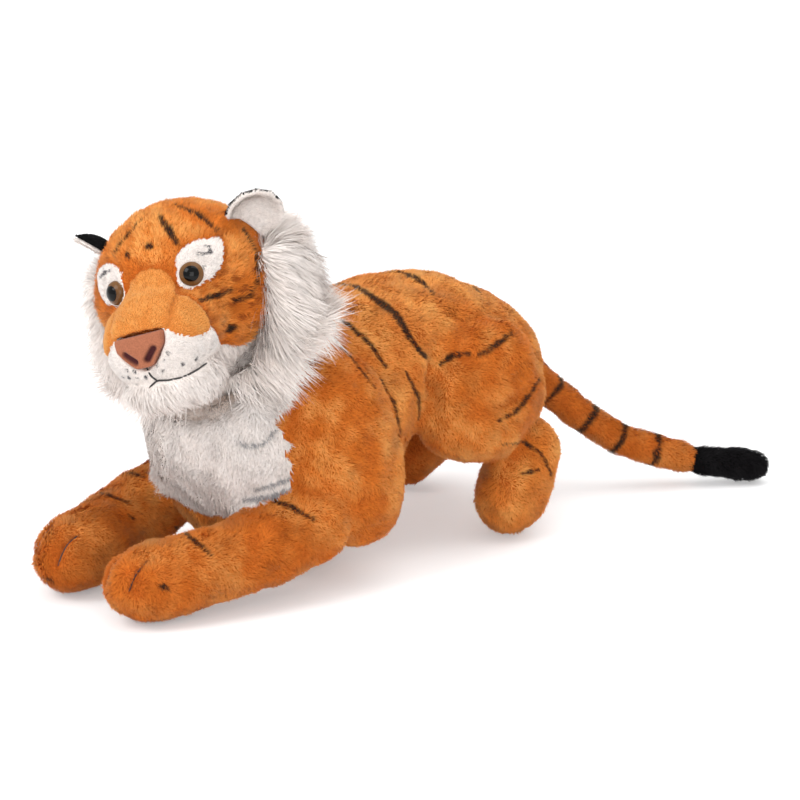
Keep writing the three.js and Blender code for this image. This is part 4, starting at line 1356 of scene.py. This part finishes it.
def ruff_look(roots):
    """Long white pile that fans out from the face and hangs down."""
    local = in_head(roots)
    side = np.sign(local[:, 0])
    across = local[:, 0] * RUFF_ACROSS[0] + side * RUFF_ACROSS[1] * mm
    up = local[:, 2] * RUFF_UP[0] + RUFF_UP[1]
    out = np.stack([across, np.full(len(roots), RUFF_BACK), up], axis=1)
    inner = 1 - step(*RUFF_REACH, norms(local[:, [0, 2]]))
    top = step(*RUFF_TOP, local[:, 2]) * inner
    rising = unit(side[:, None] * RUFF_RISE[0] + RUFF_RISE[1])
    return {
        "dyes": plain_dyes(WHITE, roots), "cover": same(WHITE[1], len(roots)), "stand": RUFF_STAND * inner,
        "lie": mixed(unit(out), rising, top) @ HEAD[:3, :3].T + RUFF_DROP,
        "length": lengths(RUFF_LENGTHS, 1 - step(*RUFF_LOW, local[:, 2]), top),
    }


def ruffs():
    for node in pairs("ruff"):
        soft_piece(
            node, RUFF_VOXEL, RUFF_SMOOTHING, ruff_inset, RUFF_PILE, ruff_look, "head", "white_pile",
            cloth="long_white_pile")


def ear_look(colours, length, seat, size, node, other, edge):
    """An ear layer's pile, which grows on the layer's own side of the ear."""
    own, beside = tree_of(*node_arrays(node)), tree_of(*node_arrays(other))

    def look(roots):
        places = np.array(seat) + (roots - seat) / size
        normals = np.array([own.find_nearest(place)[1] for place in places.tolist()])
        near = np.array([beside.find_nearest(place)[0] for place in places.tolist()])
        return {
            "dyes": plain_dyes(colours, roots), "lie": roots - seat, "length": np.full(len(roots), length),
            "keep": (normals * unit(places - near)).sum(1) > edge,
        }

    return look


def ears():
    for side, seat in EAR_SEATS.items():
        size = EAR_SIZES[side]
        for layer, other in (("back", "front"), ("front", "back")):
            colours, length, inset, edge, slot = EAR_LAYERS[layer]
            node = f"ear_{side}_{layer}"
            look = ear_look(colours, length, seat, size, node, f"ear_{side}_{other}", edge)
            soft_piece(
                node, EAR_VOXEL, EAR_SMOOTHING, even(inset), EAR_PILE, look, f"ear_{side}", slot,
                seat=seat, size=size)


def neck_look(roots):
    """White under the chin, orange at the nape."""
    nape = step(*NAPE, unit(roots - NECK_PLACE) @ NAPE_WAY)
    return {
        "dyes": mixed(plain_dyes(WHITE, roots), orange_dyes(roots), nape),
        "lie": same(NECK_LIE, len(roots)), "length": np.full(len(roots), NECK_LENGTH),
    }


def neck():
    soft_piece(
        "neck", NECK_VOXEL, NECK_SMOOTHING, even(NECK_INSET), NECK_PILE, neck_look, "neck", "white_pile")


# Nose and eyes
NOSE_FRONT = 0.6
NOSTRIL_ASIDE = 11 * mm
NOSTRIL_DOWN = 0.66
NOSTRIL_RUN = 6 * mm
NOSTRIL_ENDS = (-0.6, 1)
NOSTRIL_EDGE = (2.2 * mm, 5 * mm)
NOSTRIL_DEPTH = 4.5 * mm

# The eye's button: radius and height in millimetres, from its middle over the rim to its back
PUPIL_EDGE = 8.4
EYE_PROFILE = [
    (0, 9.2), (3, 8.9), (6, 7.9), (PUPIL_EDGE, 6.4), (9.6, 5.3), (10.6, 4.6), (11.8, 3.4), (12.7, 1.6),
    (13, 0), (12.6, -1.4), (11.5, -2.6), (9, -3.2), (0, -3.4),
]
PUPIL_PROUD = 0.35
PUPIL_FOOT = 1.5
PUPIL_SLOPE = 0.4
EYE_SIDES = 48
EYE_STEPS = 4
EYE_ACROSS = (0.2, 0.3, 0.93)
SMALLEST_RADIUS = 0.01
IRIS = ((0.06, 0.022, 0.007), (0.17, 0.078, 0.026), 0.15)
PUPIL = ((0.001, 0.001, 0.001), (0.002, 0.002, 0.002), 0.06)


def nostrils(local):
    """Share of nostril at places of the nose in the head's own frame."""
    front = local[:, 1] < np.quantile(local[:, 1], NOSE_FRONT)
    middle = (local[:, 0].min() + local[:, 0].max()) / 2
    top, bottom = local[:, 2].max(), local[:, 2].min()
    dark = np.zeros(len(local))
    for side in (-1, 1):
        spot = np.array([middle + side * NOSTRIL_ASIDE, top - NOSTRIL_DOWN * (top - bottom)])
        run = np.array([side * NOSTRIL_RUN, NOSTRIL_RUN])
        share = np.clip(((local[:, [0, 2]] - spot) @ run) / (run @ run), *NOSTRIL_ENDS)
        away = norms(local[:, [0, 2]] - spot - share[:, None] * run)
        dark = np.maximum(dark, (1 - step(*NOSTRIL_EDGE, away)) * front)
    return dark


def nose():
    places, quads = remeshed(["nose"], voxel=1.1 * mm)
    soft = smoothed(places, quads, rounds=14)
    dark = nostrils(in_head(soft))
    soft = soft - normals_of(soft, quads) * (dark * NOSTRIL_DEPTH)[:, None]
    velour = material("nose_velour", velour_surface)
    made = new_object("nose_pad", smoothed(soft, quads, LAST_SMOOTHING), quads, cloth=velour)
    # The nostrils are dyed dark: partly their own colour, partly painted shade in the hollows
    dyed(made, mixed(NOSE, NOSTRIL, dark))
    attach(made, "head")
    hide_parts("nose")


def finer(profile):
    """A profile with more points on a smooth curve near its own."""
    points = np.array(profile, float)
    fine = np.linspace(0, len(points) - 1, (len(points) - 1) * EYE_STEPS + 1)
    smooth = np.stack([np.interp(fine, np.arange(len(points)), column) for column in points.T], axis=1)
    for _ in range(EYE_STEPS):
        smooth[1:-1] = (smooth[:-2] + 2 * smooth[1:-1] + smooth[2:]) / 4
    return [tuple(row) for row in smooth]


def turned(name, profile, centre, axis, cloth):
    """A turned piece from a profile, dyed from 0 in its middle to 1 at its rim."""
    first = unit(np.cross(axis, EYE_ACROSS))
    ring = circle(first, np.cross(axis, first), EYE_SIDES)
    rows = [centre + axis * (h * mm) + ring * (max(r, SMALLEST_RADIUS) * mm) for r, h in profile]
    index = np.arange(len(rows) * EYE_SIDES).reshape(len(rows), EYE_SIDES)
    made = new_object(name, np.concatenate(rows), ring_quads(index)[:, [0, 3, 2, 1]], cloth=cloth)
    radii = np.repeat([radius for radius, _ in profile], EYE_SIDES)
    dyed(made, np.repeat((radii / radii.max())[:, None], 3, axis=1))
    return made


def eyes():
    iris = material("eye_iris_plastic", plastic_surface, *IRIS)
    black = material("eye_pupil_plastic", plastic_surface, *PUPIL)
    plain = material("washer_plastic", washer_surface)
    profile = finer(EYE_PROFILE)
    dome = [(r, h + PUPIL_PROUD) for r, h in profile if r <= PUPIL_EDGE and h > 0]
    low = dome[-1][1] - PUPIL_FOOT
    dome += [(PUPIL_EDGE, low + PUPIL_SLOPE), (0, low)]
    for side in SIDES:
        pupil, _ = node_arrays(f"eye_pupil_{side}")
        back = middle_of(f"eye_washer_{side}")
        axis = unit(middle_of(f"eye_pupil_{side}") - back)
        centre = back + axis * (((pupil - back) @ axis).max() - EYE_PROFILE[0][1] * mm)
        rim = turned(f"eye_{side}_button", profile, centre, axis, iris)
        middle = turned(f"eye_{side}_pupil_dome", dome, centre, axis, black)
        for piece, node, slot in ((rim, "eye", "eye_iris"), (middle, "eye_pupil", "eye_pupil")):
            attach(piece, "head")
            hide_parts(f"{node}_{side}")
        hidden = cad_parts[f"eye_washer_{side}"].data.materials
        hidden.clear()
        hidden.append(plain)


# Floor and light
FLOOR_REACH = 14
FLOOR_LIFT = 0.28
WORLD_STRENGTH = 0.82

# The lamps: place, size and power
LAMPS = {
    "key": ((-0.4, -2.6, 2.4), 1.6, 36),
    "fill": ((2.4, -2.2, 1.2), 2.0, 34),
    "top": ((0.4, 0.6, 3.0), 2.4, 26),
}


def floor_surface(tree):
    """White that rays from the camera see a little lighter, directly and in reflections."""
    path = added(tree, "LightPath", {}).outputs
    seen = path["Is Camera Ray"]
    for ray in ("Is Glossy Ray", "Is Transmission Ray"):
        seen = added(tree, "Math", {0: seen, 1: path[ray]}, operation="MAXIMUM").outputs["Value"]
    lift = added(tree, "Math", {0: seen, 1: FLOOR_LIFT}, operation="MULTIPLY").outputs["Value"]
    return {
        "Base Color": (0.9, 0.9, 0.9, 1), "Roughness": 0.9, "Emission Color": (1, 1, 1, 1),
        "Emission Strength": lift,
    }


def floor():
    """A plain white floor that keeps the toy's shadow."""
    corners = np.array([(-1, -1, 0), (1, -1, 0), (1, 1, 0), (-1, 1, 0)]) * FLOOR_REACH
    plain = material("studio_floor", floor_surface)
    new_object("floor", corners, np.array([[0, 1, 2, 3]]), cloth=plain)


def studio():
    world = bpy.data.worlds.new("studio")
    world.use_nodes = True
    inputs = {"Color": (1, 1, 1, 1), "Strength": WORLD_STRENGTH}
    wired(world.node_tree, world.node_tree.nodes["Background"], inputs)
    bpy.context.scene.world = world
    bpy.context.scene.view_settings.view_transform = "Standard"
    for name, (place, size, power) in LAMPS.items():
        data = bpy.data.lights.new(name, "AREA")
        data.size = size
        data.energy = power
        aimed(name, data, place, Vector(CAMERA_TARGET) - Vector(place), "-Z")


body()
head()
ruffs()
ears()
neck()
nose()
eyes()
floor()
studio()
